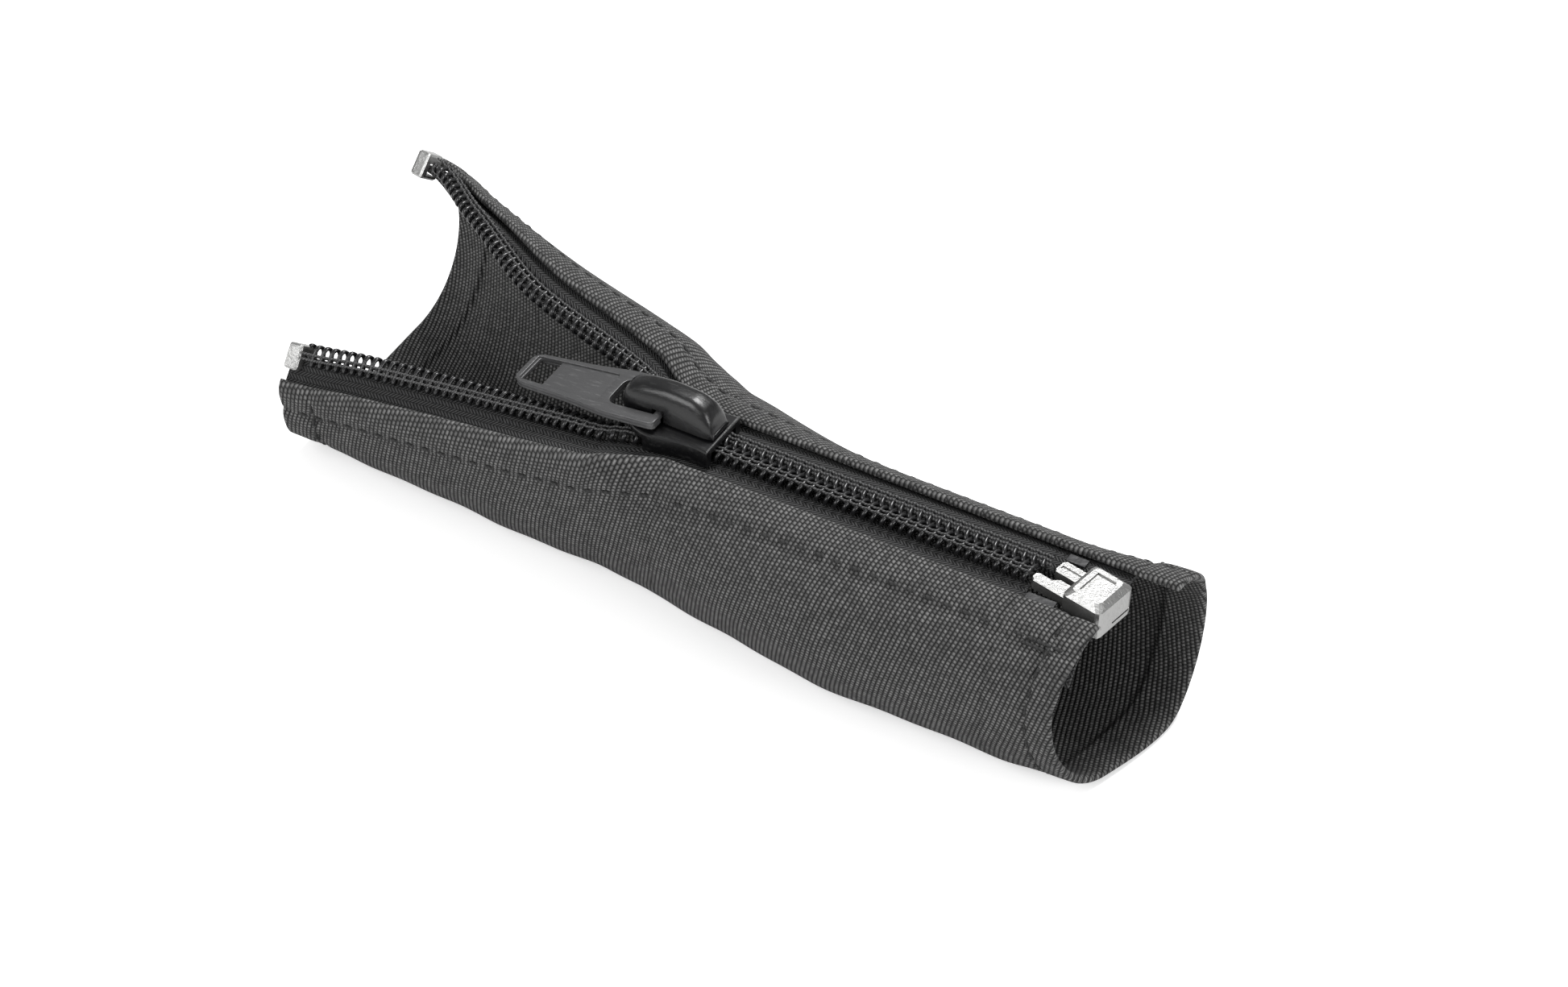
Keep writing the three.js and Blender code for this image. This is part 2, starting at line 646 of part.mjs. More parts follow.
function coreBody(side) {
  const places = headLine(side);
  const length = places[places.length - 1].travelled - STOP_LENGTH - 2 * SEAT;
  const count = 20;
  const rings = [];
  for (let i = 0; i <= count; i++) {
    const frame = headFrame(places, SEAT + ((length - SEAT) * i) / count);
    const middle = zipPoint(frame, COIL_CENTRE, COIL_MIDDLE);
    rings.push(
      Array.from({ length: 5 }, (_, k) => {
        const turn = (k / 5) * 2 * Math.PI;
        const point = middle.clone().addScaledVector(frame.away, (Math.cos(turn) * CORE) / 2);
        return point.addScaledVector(frame.up, (Math.sin(turn) * CORE) / 2);
      }),
    );
  }
  return ringBody(rings);
}

// A clamp pressed over the tape's edge at the open end of a row.
function stopBody() {
  const outside = raised(roundedRectangle(0, STOP_LENGTH, 0.2, 4.2, 0.5), -1.8, 2.2, 0.3, 1, 2);
  const slot = block(-1, STOP_LENGTH + 1, TAPE_INSET - 2 * SEAT, 5, -TAPE - 2 * SEAT, 2.5 * SEAT);
  return toGeometry(cut(outside, slot));
}

function placeStop(side) {
  const places = headLine(side);
  const frame = headFrame(places, places[places.length - 1].travelled - SEAT - STOP_LENGTH / 2);
  const up = new THREE.Vector3().crossVectors(frame.along, frame.away);
  const basis = new THREE.Matrix4().makeBasis(frame.along, frame.away, up);
  const geometry = stopBody();
  geometry.translate(-STOP_LENGTH / 2, 0, 0);
  if (side < 0) geometry.scale(1, 1, -1);
  if (side < 0) geometry.index.array.reverse();
  const stop = addMesh(sleeve, side < 0 ? "top_stop_front" : "top_stop_rear", geometry, "silver");
  stop.applyMatrix4(basis.setPosition(frame.origin));
}

// Smooth film fused beside the end of the chain.
function filmBody(side) {
  const outer = [];
  const inner = [];
  for (const x of placesBetween(chainEnd(side) + 2 * SEAT, BOX_X - NOTCH_RUN)) {
    const upper = [];
    const lower = [];
    for (const across of [PIN_INSET + SEAT, FOLD_DISTANCE - SEAT]) {
      const distance = side < 0 ? across : CLOTH_GIRTH - across;
      upper.push(sleevePoint(x, distance, SEAT + FILM));
      lower.push(sleevePoint(x, distance, SEAT));
    }
    outer.push(upper);
    inner.push(lower);
  }
  return gridBody(outer, inner);
}

// Retainer box, drawn with the pins' side at x = 0 and the zip's centre line at y = 0.
function boxBody() {
  const half = BOX_WIDTH / 2;
  const top = BOX_RISE;
  const bottom = top - BOX_THICK;
  const ringAt = (inset, z) => {
    const outline = roundedRectangle(inset, BOX_LENGTH - inset, inset - half, half - inset, BOX_CORNER);
    return outline.getPoints(2).slice(0, -1).map((p) => new THREE.Vector3(p.x, p.y, z));
  };
  const rings = [
    ringAt(BOX_FOOT, bottom),
    ringAt(0, bottom + BOX_FOOT),
    ringAt(0, top - BOX_BEVEL),
    ringAt(BOX_BEVEL, top),
  ];
  const inset = BOX_BEVEL + BOX_RIM;
  const recess = block(inset, BOX_LENGTH - inset, inset - half, half - inset, top - BOX_RECESS, top + 1);
  const line = block(BOX_LENGTH - 0.5, BOX_LENGTH + 1, -0.6, half + 1, bottom + 1.1, bottom + 1.45);
  const pockets = [-1, 1].map((side) => pinPocket(side));
  return toGeometry(cut(toSolid(ringBody(rings)), recess, line, ...pockets));
}

function pinPocket(side) {
  const near = side * (PIN_GAP / 2 - SEAT);
  const far = side * (PIN_GAP / 2 + PIN_WIDTH + SEAT);
  const room = PIN_THICK / 2 + SEAT;
  const [y0, y1] = side < 0 ? [far, near] : [near, far];
  return block(-1, PIN_DEPTH + SEAT, y0, y1, PIN_RISE - room, PIN_RISE + room);
}

// The pin fixed to the front tape, with a step for the last heads to catch.
function retainerPinBody() {
  const outer = -PIN_GAP / 2 - PIN_WIDTH;
  const low = PIN_RISE - PIN_THICK / 2;
  const high = PIN_RISE + PIN_THICK / 2;
  const shape = new THREE.Shape();
  shape.moveTo(PIN_DEPTH, outer);
  shape.lineTo(PIN_DEPTH, -PIN_GAP / 2);
  shape.lineTo(-0.4 * PIN_LENGTH, -PIN_GAP / 2);
  shape.lineTo(-0.55 * PIN_LENGTH, -PIN_GAP / 2 - PIN_NOTCH);
  shape.lineTo(-PIN_LENGTH + 0.7, -PIN_GAP / 2 - PIN_NOTCH);
  shape.lineTo(-PIN_LENGTH + SEAT, -PIN_GAP / 2 - PIN_NOTCH - 0.4);
  shape.lineTo(-PIN_LENGTH + SEAT, outer + 0.5);
  shape.lineTo(-PIN_LENGTH + 0.9, outer);
  return toGeometry(raised(shape, low, high, 0.15, 1, 2));
}

// The pin fixed to the rear tape, which slides out of the box.
function insertionPinBody() {
  const inner = PIN_GAP / 2;
  const end = -PIN_LENGTH + PIN_STAGGER;
  const low = PIN_RISE - PIN_THICK / 2;
  const high = PIN_RISE + PIN_THICK / 2;
  const shape = new THREE.Shape();
  shape.moveTo(PIN_DEPTH, inner);
  shape.lineTo(PIN_DEPTH, inner + PIN_WIDTH);
  shape.lineTo(end + 0.9, inner + PIN_WIDTH);
  shape.lineTo(end + SEAT, inner + PIN_WIDTH - 0.5);
  shape.lineTo(end + SEAT, inner + 0.3);
  shape.lineTo(end + 0.6, inner);
  const body = raised(shape, low, high, 0.15, 1, 2);
  const groove = block(end + 0.8, -0.6, inner + 0.9, inner + 1.5, high - 0.25, high + 1);
  return toGeometry(cut(body, groove));
}

function buildRetainer() {
  const turned = new THREE.Group();
  turned.position.set(BOX_PIVOT, 0, ZIP_HEIGHT);
  turned.rotation.set(0, THREE.MathUtils.degToRad(BOX_DIP), -THREE.MathUtils.degToRad(BOX_TURN));
  sleeve.add(turned);
  const box = addMesh(turned, "retainer_box", boxBody(), "silver");
  const retainer = addMesh(turned, "retainer_pin", retainerPinBody(), "silver");
  const insertion = addMesh(turned, "insertion_pin", insertionPinBody(), "silver");
  for (const piece of [box, retainer, insertion]) piece.position.x = BOX_X - BOX_PIVOT;
}

// Slider, drawn from its closed end at x = 0 to its nose, with z from the top of the tape.

function sliderOutline(inset) {
  const exit = SLIDER_EXIT_WIDTH / 2 - inset;
  const shoulder = SLIDER_SHOULDER_WIDTH / 2 - inset;
  const nose = SLIDER_NOSE_WIDTH / 2 - inset;
  const end = -SLIDER_LENGTH + inset;
  const shape = new THREE.Shape();
  shape.moveTo(-inset, -exit);
  shape.lineTo(-inset, exit);
  shape.bezierCurveTo(-3, exit - 0.5, -4.5, exit - 0.3, -0.62 * SLIDER_LENGTH, shoulder - 0.1);
  shape.quadraticCurveTo(-0.72 * SLIDER_LENGTH, shoulder + 0.1, -0.8 * SLIDER_LENGTH, shoulder - 0.35);
  shape.quadraticCurveTo(-0.97 * SLIDER_LENGTH, nose + 0.4, end, nose - 2.2);
  shape.lineTo(end, 2.2 - nose);
  shape.quadraticCurveTo(-0.97 * SLIDER_LENGTH, -nose - 0.4, -0.8 * SLIDER_LENGTH, 0.35 - shoulder);
  shape.quadraticCurveTo(-0.72 * SLIDER_LENGTH, -shoulder - 0.1, -0.62 * SLIDER_LENGTH, 0.1 - shoulder);
  shape.bezierCurveTo(-4.5, 0.3 - exit, -3, 0.5 - exit, -inset, -exit);
  return shape;
}

// The room that the chain needs: one channel behind, parting into two round the diamond.
function channelOutline() {
  const single = COIL_OUTSIDE + CHANNEL_ROOM;
  const open = SLIDER_SHOULDER_WIDTH / 2 - FLANGE;
  const shape = new THREE.Shape();
  shape.moveTo(1, -single);
  shape.lineTo(1, single);
  shape.lineTo(-0.3 * SLIDER_LENGTH, single);
  shape.quadraticCurveTo(-0.5 * SLIDER_LENGTH, single + 0.1, -0.72 * SLIDER_LENGTH, open);
  shape.lineTo(-0.74 * SLIDER_LENGTH, open + 2);
  shape.lineTo(-SLIDER_LENGTH - 1, open + 2);
  shape.lineTo(-SLIDER_LENGTH - 1, -open - 2);
  shape.lineTo(-0.74 * SLIDER_LENGTH, -open - 2);
  shape.lineTo(-0.72 * SLIDER_LENGTH, -open);
  shape.quadraticCurveTo(-0.5 * SLIDER_LENGTH, -single - 0.1, -0.3 * SLIDER_LENGTH, -single);
  return shape;
}

function diamondOutline() {
  const half = DIAMOND_WIDTH / 2;
  const front = -SLIDER_LENGTH + 0.5;
  const shape = new THREE.Shape();
  shape.moveTo(front, -0.75 * half);
  shape.quadraticCurveTo(front + 0.3 * DIAMOND_LENGTH, -1.2 * half, front + 0.5 * DIAMOND_LENGTH, -half);
  shape.lineTo(front + DIAMOND_LENGTH, -0.15);
  shape.lineTo(front + DIAMOND_LENGTH, 0.15);
  shape.lineTo(front + 0.5 * DIAMOND_LENGTH, half);
  shape.quadraticCurveTo(front + 0.3 * DIAMOND_LENGTH, 1.2 * half, front, 0.75 * half);
  return shape;
}

// Places of the two posts that carry the cover, of the pawl's hole and of the cover itself.
const COVER_BACK = -0.4;
const COVER_FRONT = COVER_BACK - COVER_LENGTH;
const POST_WIDTH = COVER_WIDTH - 2 * COVER_WALL - 3.2 * SEAT;
const FRONT_POST = [-SLIDER_LENGTH + 1, -SLIDER_LENGTH + 2.8];
const REAR_POST = [-3.6, -2];
const POST_TOP = PLATE_TOP + 1;
const PAWL_HOLE = [-6.2, -4.8];
const PAWL_WIDTH = 1.4;

function sliderBody() {
  const top = raised(sliderOutline(0), SEAT + 0.05, PLATE_TOP, 0.3, 2, 5);
  const inside = raised(channelOutline(), -5, PLATE_UNDER);
  const bottom = raised(sliderOutline(0.35), FLOOR_TOP - PLATE, FLOOR_TOP, 0.3, 1, 5);
  const diamond = raised(diamondOutline(), FLOOR_TOP - PLATE / 2, PLATE_UNDER + PLATE / 2, 0, 1, 5);
  const posts = [FRONT_POST, REAR_POST].map(([x0, x1]) =>
    block(x0, x1, -POST_WIDTH / 2, POST_WIDTH / 2, PLATE_UNDER + PLATE / 2, POST_TOP),
  );
  const hole = block(
    PAWL_HOLE[0], PAWL_HOLE[1], -PAWL_WIDTH / 2 - SEAT, PAWL_WIDTH / 2 + SEAT, PLATE_UNDER - 1, PLATE_TOP + 1,
  );
  return toGeometry(join(cut(top, inside, hole), bottom, diamond, ...posts));
}

// The cover along its length, from its closed end to its nose: how far along, and what share of
// the full height and width it has there.
const COVER_FORM = [
  { along: 0, height: 0.2, width: 0.86 },
  { along: 0.05, height: 0.55, width: 0.95 },
  { along: 0.13, height: 0.82, width: 1 },
  { along: 0.28, height: 0.97, width: 1 },
  { along: 0.5, height: 1, width: 1 },
  { along: 0.75, height: 0.92, width: 1 },
  { along: 0.9, height: 0.8, width: 0.94 },
  { along: 0.97, height: 0.66, width: 0.82 },
  { along: 1, height: 0.5, width: 0.66 },
];

// The cover's outside, or with a wall and a deeper foot the room inside it.
function coverForm(wall, foot) {
  const rings = COVER_FORM.map(({ along, height, width }) => {
    const length = COVER_LENGTH - 2 * wall;
    const x = COVER_BACK - wall - along * length;
    const half = (COVER_WIDTH / 2) * width - wall;
    const top = PLATE_TOP + COVER_HEIGHT * height - wall;
    const ring = [];
    for (let k = 0; k <= 10; k++) {
      const angle = (k / 10) * Math.PI;
      const y = half * Math.sign(Math.cos(angle)) * Math.abs(Math.cos(angle)) ** 0.62;
      const z = foot + (top - foot) * Math.sin(angle) ** 0.62;
      ring.push(new THREE.Vector3(x, y, z));
    }
    return ring;
  });
  return toSolid(ringBody(rings));
}

function coverBody() {
  const dome = coverForm(0, PLATE_TOP + SEAT);
  const hollow = coverForm(COVER_WALL, PLATE_TOP - 1);
  const half = HINGE_PIN / 2 + SEAT;
  const pinSlot = block(
    -HINGE_BACK - half, -HINGE_BACK + half,
    -COVER_WIDTH, COVER_WIDTH, PLATE_TOP - 1, PLATE_TOP + HINGE_RISE + half,
  );
  return toGeometry(cut(dome, hollow, pinSlot));
}

// The lock: a sprung strip over the pin, its tip reaching down through the top plate.
function springBody() {
  const high = COVER_TOP - COVER_WALL - 2 * SEAT;
  const strip = 0.35;
  const overPost = POST_TOP + SEAT;
  const tip = PLATE_UNDER + 0.1;
  const tipBack = PAWL_HOLE[1] - SEAT;
  const tipFront = PAWL_HOLE[0] + SEAT;
  const shape = new THREE.Shape();
  shape.moveTo(FRONT_POST[0] + 0.4, overPost);
  shape.lineTo(FRONT_POST[1], overPost);
  shape.lineTo(-HINGE_BACK - 1.4, high - strip);
  shape.lineTo(-HINGE_BACK + 1.2, high - strip);
  shape.lineTo(tipFront, PLATE_TOP + 0.6);
  shape.lineTo(tipFront, tip);
  shape.lineTo(tipBack, tip + 0.2);
  shape.lineTo(tipBack, PLATE_TOP + 0.8);
  shape.lineTo(-HINGE_BACK + 1.6, high);
  shape.lineTo(-HINGE_BACK - 1.6, high);
  shape.lineTo(FRONT_POST[1], overPost + strip);
  shape.lineTo(FRONT_POST[0] + 0.4, overPost + strip);
  return toGeometry(spread(shape, -PAWL_WIDTH / 2, PAWL_WIDTH / 2));
}

// Pull tab, drawn from its pin at x = 0 to its tip, lying towards the open end.
function tabOutline(inset) {
  const tip = TAB_TIP_WIDTH / 2 - inset;
  const base = TAB_BASE_WIDTH / 2 - inset;
  const end = -TAB_LENGTH + inset;
  const armEnd = -0.75 * WINDOW_LENGTH;
  const waist = -0.62 * TAB_LENGTH;
  const shape = new THREE.Shape();
  shape.moveTo(HINGE_PIN / 2 + 0.1 - inset, -base + 0.6);
  shape.lineTo(HINGE_PIN / 2 + 0.1 - inset, base - 0.6);
  shape.quadraticCurveTo(HINGE_PIN / 2 - inset, base, -0.6, base);
  shape.lineTo(armEnd, base);
  shape.bezierCurveTo(armEnd - 3, base, armEnd - 4, tip + 1.1, waist, tip + 0.55);
  shape.lineTo(end + 2, tip);
  shape.quadraticCurveTo(end + 0.3, tip - 0.1, end, tip - 1.5);
  shape.lineTo(end, 1.5 - tip);
  shape.quadraticCurveTo(end + 0.3, 0.1 - tip, end + 2, -tip);
  shape.lineTo(waist, -tip - 0.55);
  shape.bezierCurveTo(armEnd - 4, -tip - 1.1, armEnd - 3, -base, armEnd, -base);
  shape.lineTo(-0.6, -base);
  shape.quadraticCurveTo(HINGE_PIN / 2 - inset, -base, HINGE_PIN / 2 + 0.1 - inset, -base + 0.6);
  return shape;
}

function windowOutline() {
  const half = WINDOW_WIDTH / 2;
  const shape = new THREE.Shape();
  shape.moveTo(2, -half);
  shape.lineTo(2, half);
  shape.lineTo(-WINDOW_LENGTH + 1.6, half);
  shape.quadraticCurveTo(-WINDOW_LENGTH, half, -WINDOW_LENGTH, half - 1.6);
  shape.lineTo(-WINDOW_LENGTH, 1.6 - half);
  shape.quadraticCurveTo(-WINDOW_LENGTH, -half, -WINDOW_LENGTH + 1.6, -half);
  return shape;
}

function panelOutline(x0, x1) {
  const halfAt = (x) => TAB_TIP_WIDTH / 2 - TAB_RIM + (x + TAB_LENGTH) * 0.045;
  const shape = new THREE.Shape();
  shape.moveTo(x0, -halfAt(x0));
  shape.lineTo(x1, -halfAt(x1));
  shape.lineTo(x1, halfAt(x1));
  shape.lineTo(x0, halfAt(x0));
  return shape;
}

function tabBody() {
  const half = TAB_THICK / 2;
  const plate = raised(tabOutline(0), -half, half, 0.3, 2, 4);
  const window = raised(windowOutline(), -2, 2, 0, 1, 4);
  const holeFront = -TAB_LENGTH + 1.1;
  const holeBack = holeFront + TIP_HOLE_LENGTH;
  const hole = raised(panelOutline(holeFront, holeBack), -2, 2);
  const panelBack = -WINDOW_LENGTH - 1.5;
  const upperPanel = raised(panelOutline(holeFront - 0.3, panelBack), half - TAB_RECESS, 2);
  const lowerPanel = raised(panelOutline(holeFront - 0.3, panelBack), -2, TAB_RECESS - half);
  const pin = rod(HINGE_PIN / 2, -WINDOW_WIDTH / 2 - 0.6, WINDOW_WIDTH / 2 + 0.6, 0, 0);
  return toGeometry(join(cut(plate, window, hole, upperPanel, lowerPanel), pin));
}

function buildSlider() {
  const slider = new THREE.Group();
  slider.position.set(EXIT_X, 0, ZIP_HEIGHT);
  sleeve.add(slider);
  addMesh(slider, "slider_body", sliderBody(), "blackMetal");
  addMesh(slider, "slider_cover", coverBody(), "blackMetal");
  addMesh(slider, "lock_spring", springBody(), "spring");
  const tab = addMesh(slider, "pull_tab", tabBody(), "greyMetal");
  tab.position.set(-HINGE_BACK, 0, PLATE_TOP + HINGE_RISE);
  tab.rotation.y = -THREE.MathUtils.degToRad(TAB_DROOP);
}

function buildSoftPieces() {
  addMesh(sleeve, "fabric_sleeve", clothBody(), "cloth");
  for (const [side, name] of [[-1, "front"], [1, "rear"]]) {
    addMesh(sleeve, "zipper_tape_" + name, tapeBody(side), "tape");
    addMesh(sleeve, "coil_" + name, coilBody(side), "coil");
    addMesh(sleeve, "core_cord_" + name, coreBody(side), "core");
    addMesh(sleeve, "end_film_" + name, filmBody(side), "film");
    placeStop(side);
  }
}

buildSoftPieces();
buildRetainer();
buildSlider();

export default sleeve;
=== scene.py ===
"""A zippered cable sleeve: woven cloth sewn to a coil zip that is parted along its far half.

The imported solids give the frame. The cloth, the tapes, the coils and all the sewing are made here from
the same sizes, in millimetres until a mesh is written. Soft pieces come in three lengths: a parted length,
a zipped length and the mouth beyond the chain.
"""

from __future__ import annotations

import json
import logging
import math
from dataclasses import dataclass, field
from enum import Enum
from typing import Callable, Sequence, Union

import bmesh
import bpy
import numpy as np
from mathutils import Matrix, Vector

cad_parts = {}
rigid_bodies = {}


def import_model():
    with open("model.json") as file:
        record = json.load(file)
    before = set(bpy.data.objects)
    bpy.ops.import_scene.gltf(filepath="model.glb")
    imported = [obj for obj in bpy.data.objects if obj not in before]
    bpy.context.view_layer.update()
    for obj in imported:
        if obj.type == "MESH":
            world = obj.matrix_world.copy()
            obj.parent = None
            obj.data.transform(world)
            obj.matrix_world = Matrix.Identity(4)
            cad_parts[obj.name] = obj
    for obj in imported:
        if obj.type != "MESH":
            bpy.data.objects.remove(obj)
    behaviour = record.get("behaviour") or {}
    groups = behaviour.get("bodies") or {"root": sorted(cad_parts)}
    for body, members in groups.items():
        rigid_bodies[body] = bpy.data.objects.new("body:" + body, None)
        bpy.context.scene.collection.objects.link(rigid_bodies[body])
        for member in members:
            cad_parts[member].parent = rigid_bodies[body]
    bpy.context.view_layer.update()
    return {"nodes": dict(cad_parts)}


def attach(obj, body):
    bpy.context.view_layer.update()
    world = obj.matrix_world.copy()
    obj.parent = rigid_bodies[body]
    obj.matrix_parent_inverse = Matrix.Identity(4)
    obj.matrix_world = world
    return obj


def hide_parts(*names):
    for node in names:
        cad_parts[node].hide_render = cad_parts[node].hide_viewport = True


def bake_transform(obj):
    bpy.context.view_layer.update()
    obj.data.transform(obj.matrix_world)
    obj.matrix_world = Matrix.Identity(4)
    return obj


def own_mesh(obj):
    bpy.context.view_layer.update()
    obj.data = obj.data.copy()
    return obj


LOG = logging.getLogger("sleeve")
MM = 0.001
PLACE = "place_on_piece"

Number = Union[float, "Shade"]
Run = tuple[np.ndarray, np.ndarray, np.ndarray, np.ndarray]
Colour = tuple[float, float, float]


class Side(Enum):
    """The two rows of the zip, by the way each lies from the zip's centre line."""

    FRONT = -1
    REAR = 1


class Length(Enum):
    """The lengths that a soft piece is made in."""

    PARTED = "parted"
    ZIPPED = "zipped"
    MOUTH = "mouth"


# Shader arithmetic


class Shade:
    """A shader socket that takes part in Python arithmetic."""

    def __init__(self, graph: "Graph", socket: bpy.types.NodeSocket) -> None:
        """Keep a socket and the graph that it belongs to."""
        self.graph = graph
        self.socket = socket

    def __add__(self, other: Number) -> "Shade":
        """Add a number or another value."""
        return self.graph.math("ADD", self, other)

    __radd__ = __add__

    def __mul__(self, other: Number) -> "Shade":
        """Multiply by a number or another value."""
        return self.graph.math("MULTIPLY", self, other)

    __rmul__ = __mul__

    def __sub__(self, other: Number) -> "Shade":
        """Subtract a number or another value."""
        return self.graph.math("SUBTRACT", self, other)

    def __rsub__(self, other: Number) -> "Shade":
        """Subtract this value from a number."""
        return self.graph.math("SUBTRACT", other, self)

    def __truediv__(self, other: Number) -> "Shade":
        """Divide by a number or another value."""
        return self.graph.math("DIVIDE", self, other)

    def __pow__(self, other: Number) -> "Shade":
        """Raise to a power."""
        return self.graph.math("POWER", self, other)

    def __abs__(self) -> "Shade":
        """The value without its sign."""
        return self.graph.math("ABSOLUTE", self)

    def floor(self) -> "Shade":
        """The whole number below the value."""
        return self.graph.math("FLOOR", self)

    def fraction(self) -> "Shade":
        """What the value has over its whole number."""
        return self.graph.math("FRACT", self)

    def clamped(self) -> "Shade":
        """The value kept between 0 and 1."""
        return self.graph.math("MINIMUM", self.graph.math("MAXIMUM", self, 0.0), 1.0)

    def hump(self, power: float) -> "Shade":
        """A rounded hump across each whole step of the value.

        Args:
            power: How flat the hump's top is.

        Returns:
            0 at each whole number and 1 halfway to the next.
        """
        return 1.0 - abs(self.fraction() * 2.0 - 1.0) ** power


class Graph:
    """A material's nodes, with one method for each way of adding to them."""

    def __init__(self, name: str) -> None:
        """Start an empty material.

        Args:
            name: The material's name.
        """
        self.material = bpy.data.materials.new(name)
        self.material.use_nodes = True
        self.tree = self.material.node_tree
        self.tree.nodes.clear()

    def node(self, kind: str, settings: dict | None = None, inputs: dict | None = None) -> bpy.types.Node:
        """Add a node.

        Args:
            kind: The node's type name.
            settings: Properties to set first.
            inputs: Values or links by socket name or number.

        Returns:
            The node.
        """
        node = self.tree.nodes.new(kind)
        for key, value in (settings or {}).items():
            setattr(node, key, value)
        for key, value in (inputs or {}).items():
            socket = node.inputs[key]
            if isinstance(value, Shade):
                self.tree.links.new(value.socket, socket)
            elif isinstance(value, bpy.types.NodeSocket):
                self.tree.links.new(value, socket)
            else:
                socket.default_value = value
        return node

    def math(self, operation: str, *values: Number) -> Shade:
        """Add a Math node.

        Args:
            operation: What it does.
            values: Its inputs in order.

        Returns:
            Its result.
        """
        node = self.node("ShaderNodeMath", {"operation": operation}, dict(enumerate(values)))
        return Shade(self, node.outputs[0])

    def place(self) -> tuple[Shade, Shade]:
        """The two coordinates stored on a piece: along it and across it, in millimetres.

        Returns:
            Along and across.
        """
        kept = self.node("ShaderNodeAttribute", {"attribute_name": PLACE, "attribute_type": "GEOMETRY"})
        parts = self.node("ShaderNodeSeparateXYZ", None, {0: kept.outputs["Vector"]})
        return Shade(self, parts.outputs[0]), Shade(self, parts.outputs[1])

    def on_object(self, stretch: tuple[float, float, float] = (1.0, 1.0, 1.0)) -> Shade:
        """Object coordinates, stretched.

        Args:
            stretch: Factor for each axis.

        Returns:
            A vector for a texture.
        """
        here = self.node("ShaderNodeTexCoord").outputs["Object"]
        node = self.node("ShaderNodeVectorMath", {"operation": "MULTIPLY"}, {0: here, 1: stretch})
        return Shade(self, node.outputs[0])

    def point(self, *values: Number) -> Shade:
        """Join values to a vector.

        Args:
            values: Its two or three parts.

        Returns:
            The vector.
        """
        return Shade(self, self.node("ShaderNodeCombineXYZ", None, dict(enumerate(values))).outputs[0])

    def noise(self, at: Shade, scale: float, detail: float = 2.0, rough: float = 0.5) -> Shade:
        """Smooth noise from 0 to 1.

        Args:
            at: Where it is read.
            scale: Its size, as repeats for each unit.
            detail: Octaves.
            rough: How strong the finer octaves are.

        Returns:
            The noise.
        """
        inputs = {"Vector": at, "Scale": scale, "Detail": detail, "Roughness": rough}
        return Shade(self, self.node("ShaderNodeTexNoise", None, inputs).outputs["Fac"])

    def chance(self, at: Shade) -> Shade:
        """A random value from 0 to 1 that stays the same at one point.

        Args:
            at: A vector of whole numbers.

        Returns:
            The value.
        """
        node = self.node("ShaderNodeTexWhiteNoise", {"noise_dimensions": "3D"}, {"Vector": at})
        return Shade(self, node.outputs["Value"])

    def tint(self, low: Colour, high: Colour, share: Shade) -> Shade:
        """Mix two colours.

        Args:
            low: The colour at 0.
            high: The colour at 1.
            share: How much of the second one.

        Returns:
            The mixed colour.
        """
        node = self.node("ShaderNodeMix", {"data_type": "RGBA"}, {0: share, 6: (*low, 1.0), 7: (*high, 1.0)})
        return Shade(self, node.outputs[2])

    def bump(self, height: Shade, depth: float, strength: float = 1.0) -> Shade:
        """Turn a height into a normal.

        Args:
            height: 0 to 1.
            depth: What 1 stands for, in metres.
            strength: How much of it shows.

        Returns:
            The normal.
        """
        node = self.node("ShaderNodeBump", None, {"Height": height, "Distance": depth, "Strength": strength})
        return Shade(self, node.outputs[0])

    def finish(self, **sockets: object) -> bpy.types.Material:
        """Close the graph with a principled shader.

        Args:
            sockets: Its inputs, with underscores for spaces.

        Returns:
            The material.
        """
        inputs = {name.replace("_", " "): value for name, value in sockets.items()}
        shader = self.node("ShaderNodeBsdfPrincipled", None, inputs)
        self.node("ShaderNodeOutputMaterial", None, {"Surface": shader.outputs[0]})
        return self.material


# Finishes


@dataclass(frozen=True)
class RibbedCloth:
    """Charcoal polyester woven in ribs that run slightly askew across the zip."""

    rib_pitch: float = 0.7
    yarn_pitch: float = 0.54
    askew: float = 16.0
    # The darker colour is painted shade in the weave's hollows; the crest colour is the yarn's own.
    shaded_valley: Colour = (0.003, 0.003, 0.0032)
    crest: Colour = (0.19, 0.189, 0.187)
    relief: float = 0.0004

    def material(self) -> bpy.types.Material:
        """Build the cloth's material."""
        g = Graph("ribbed_cloth")
        along, across = g.place()
        turn = math.radians(self.askew)
        wander = g.noise(g.point(along, across), 0.09, 2.0) * 1.1
        ribs = (along * math.cos(turn) + across * math.sin(turn)) * (1 / self.rib_pitch) + wander
        row = ribs.floor()
        yarns = (across * math.cos(turn) - along * math.sin(turn)) * (1 / self.yarn_pitch) + row * 0.5
        rib = ribs.hump(2.2)
        yarn = yarns.hump(2.6)
        height = rib * (yarn * 0.75 + 0.25)
        knot = g.chance(g.point(row, yarns.floor()))
        worn = g.noise(g.point(along, across), 0.35, 3.0)
        # Painted shade: the colour darkens with the weave's height into the hollows between ribs and yarns;
        # knot and worn add random tone.
        share = (height ** 1.6) * (knot * 0.55 + 0.55) * (worn * 0.7 + 0.65)
        fibre = g.noise(g.point(along, across), 9.0, 2.0)
        colour = g.tint(self.shaded_valley, self.crest, share.clamped())
        normal = g.bump(height + fibre * 0.18, self.relief)
        return g.finish(
            Base_Color=colour,
            Roughness=0.95 - 0.2 * height,
            Normal=normal,
            Specular_IOR_Level=0.25,
            Sheen_Weight=0.08,
        )


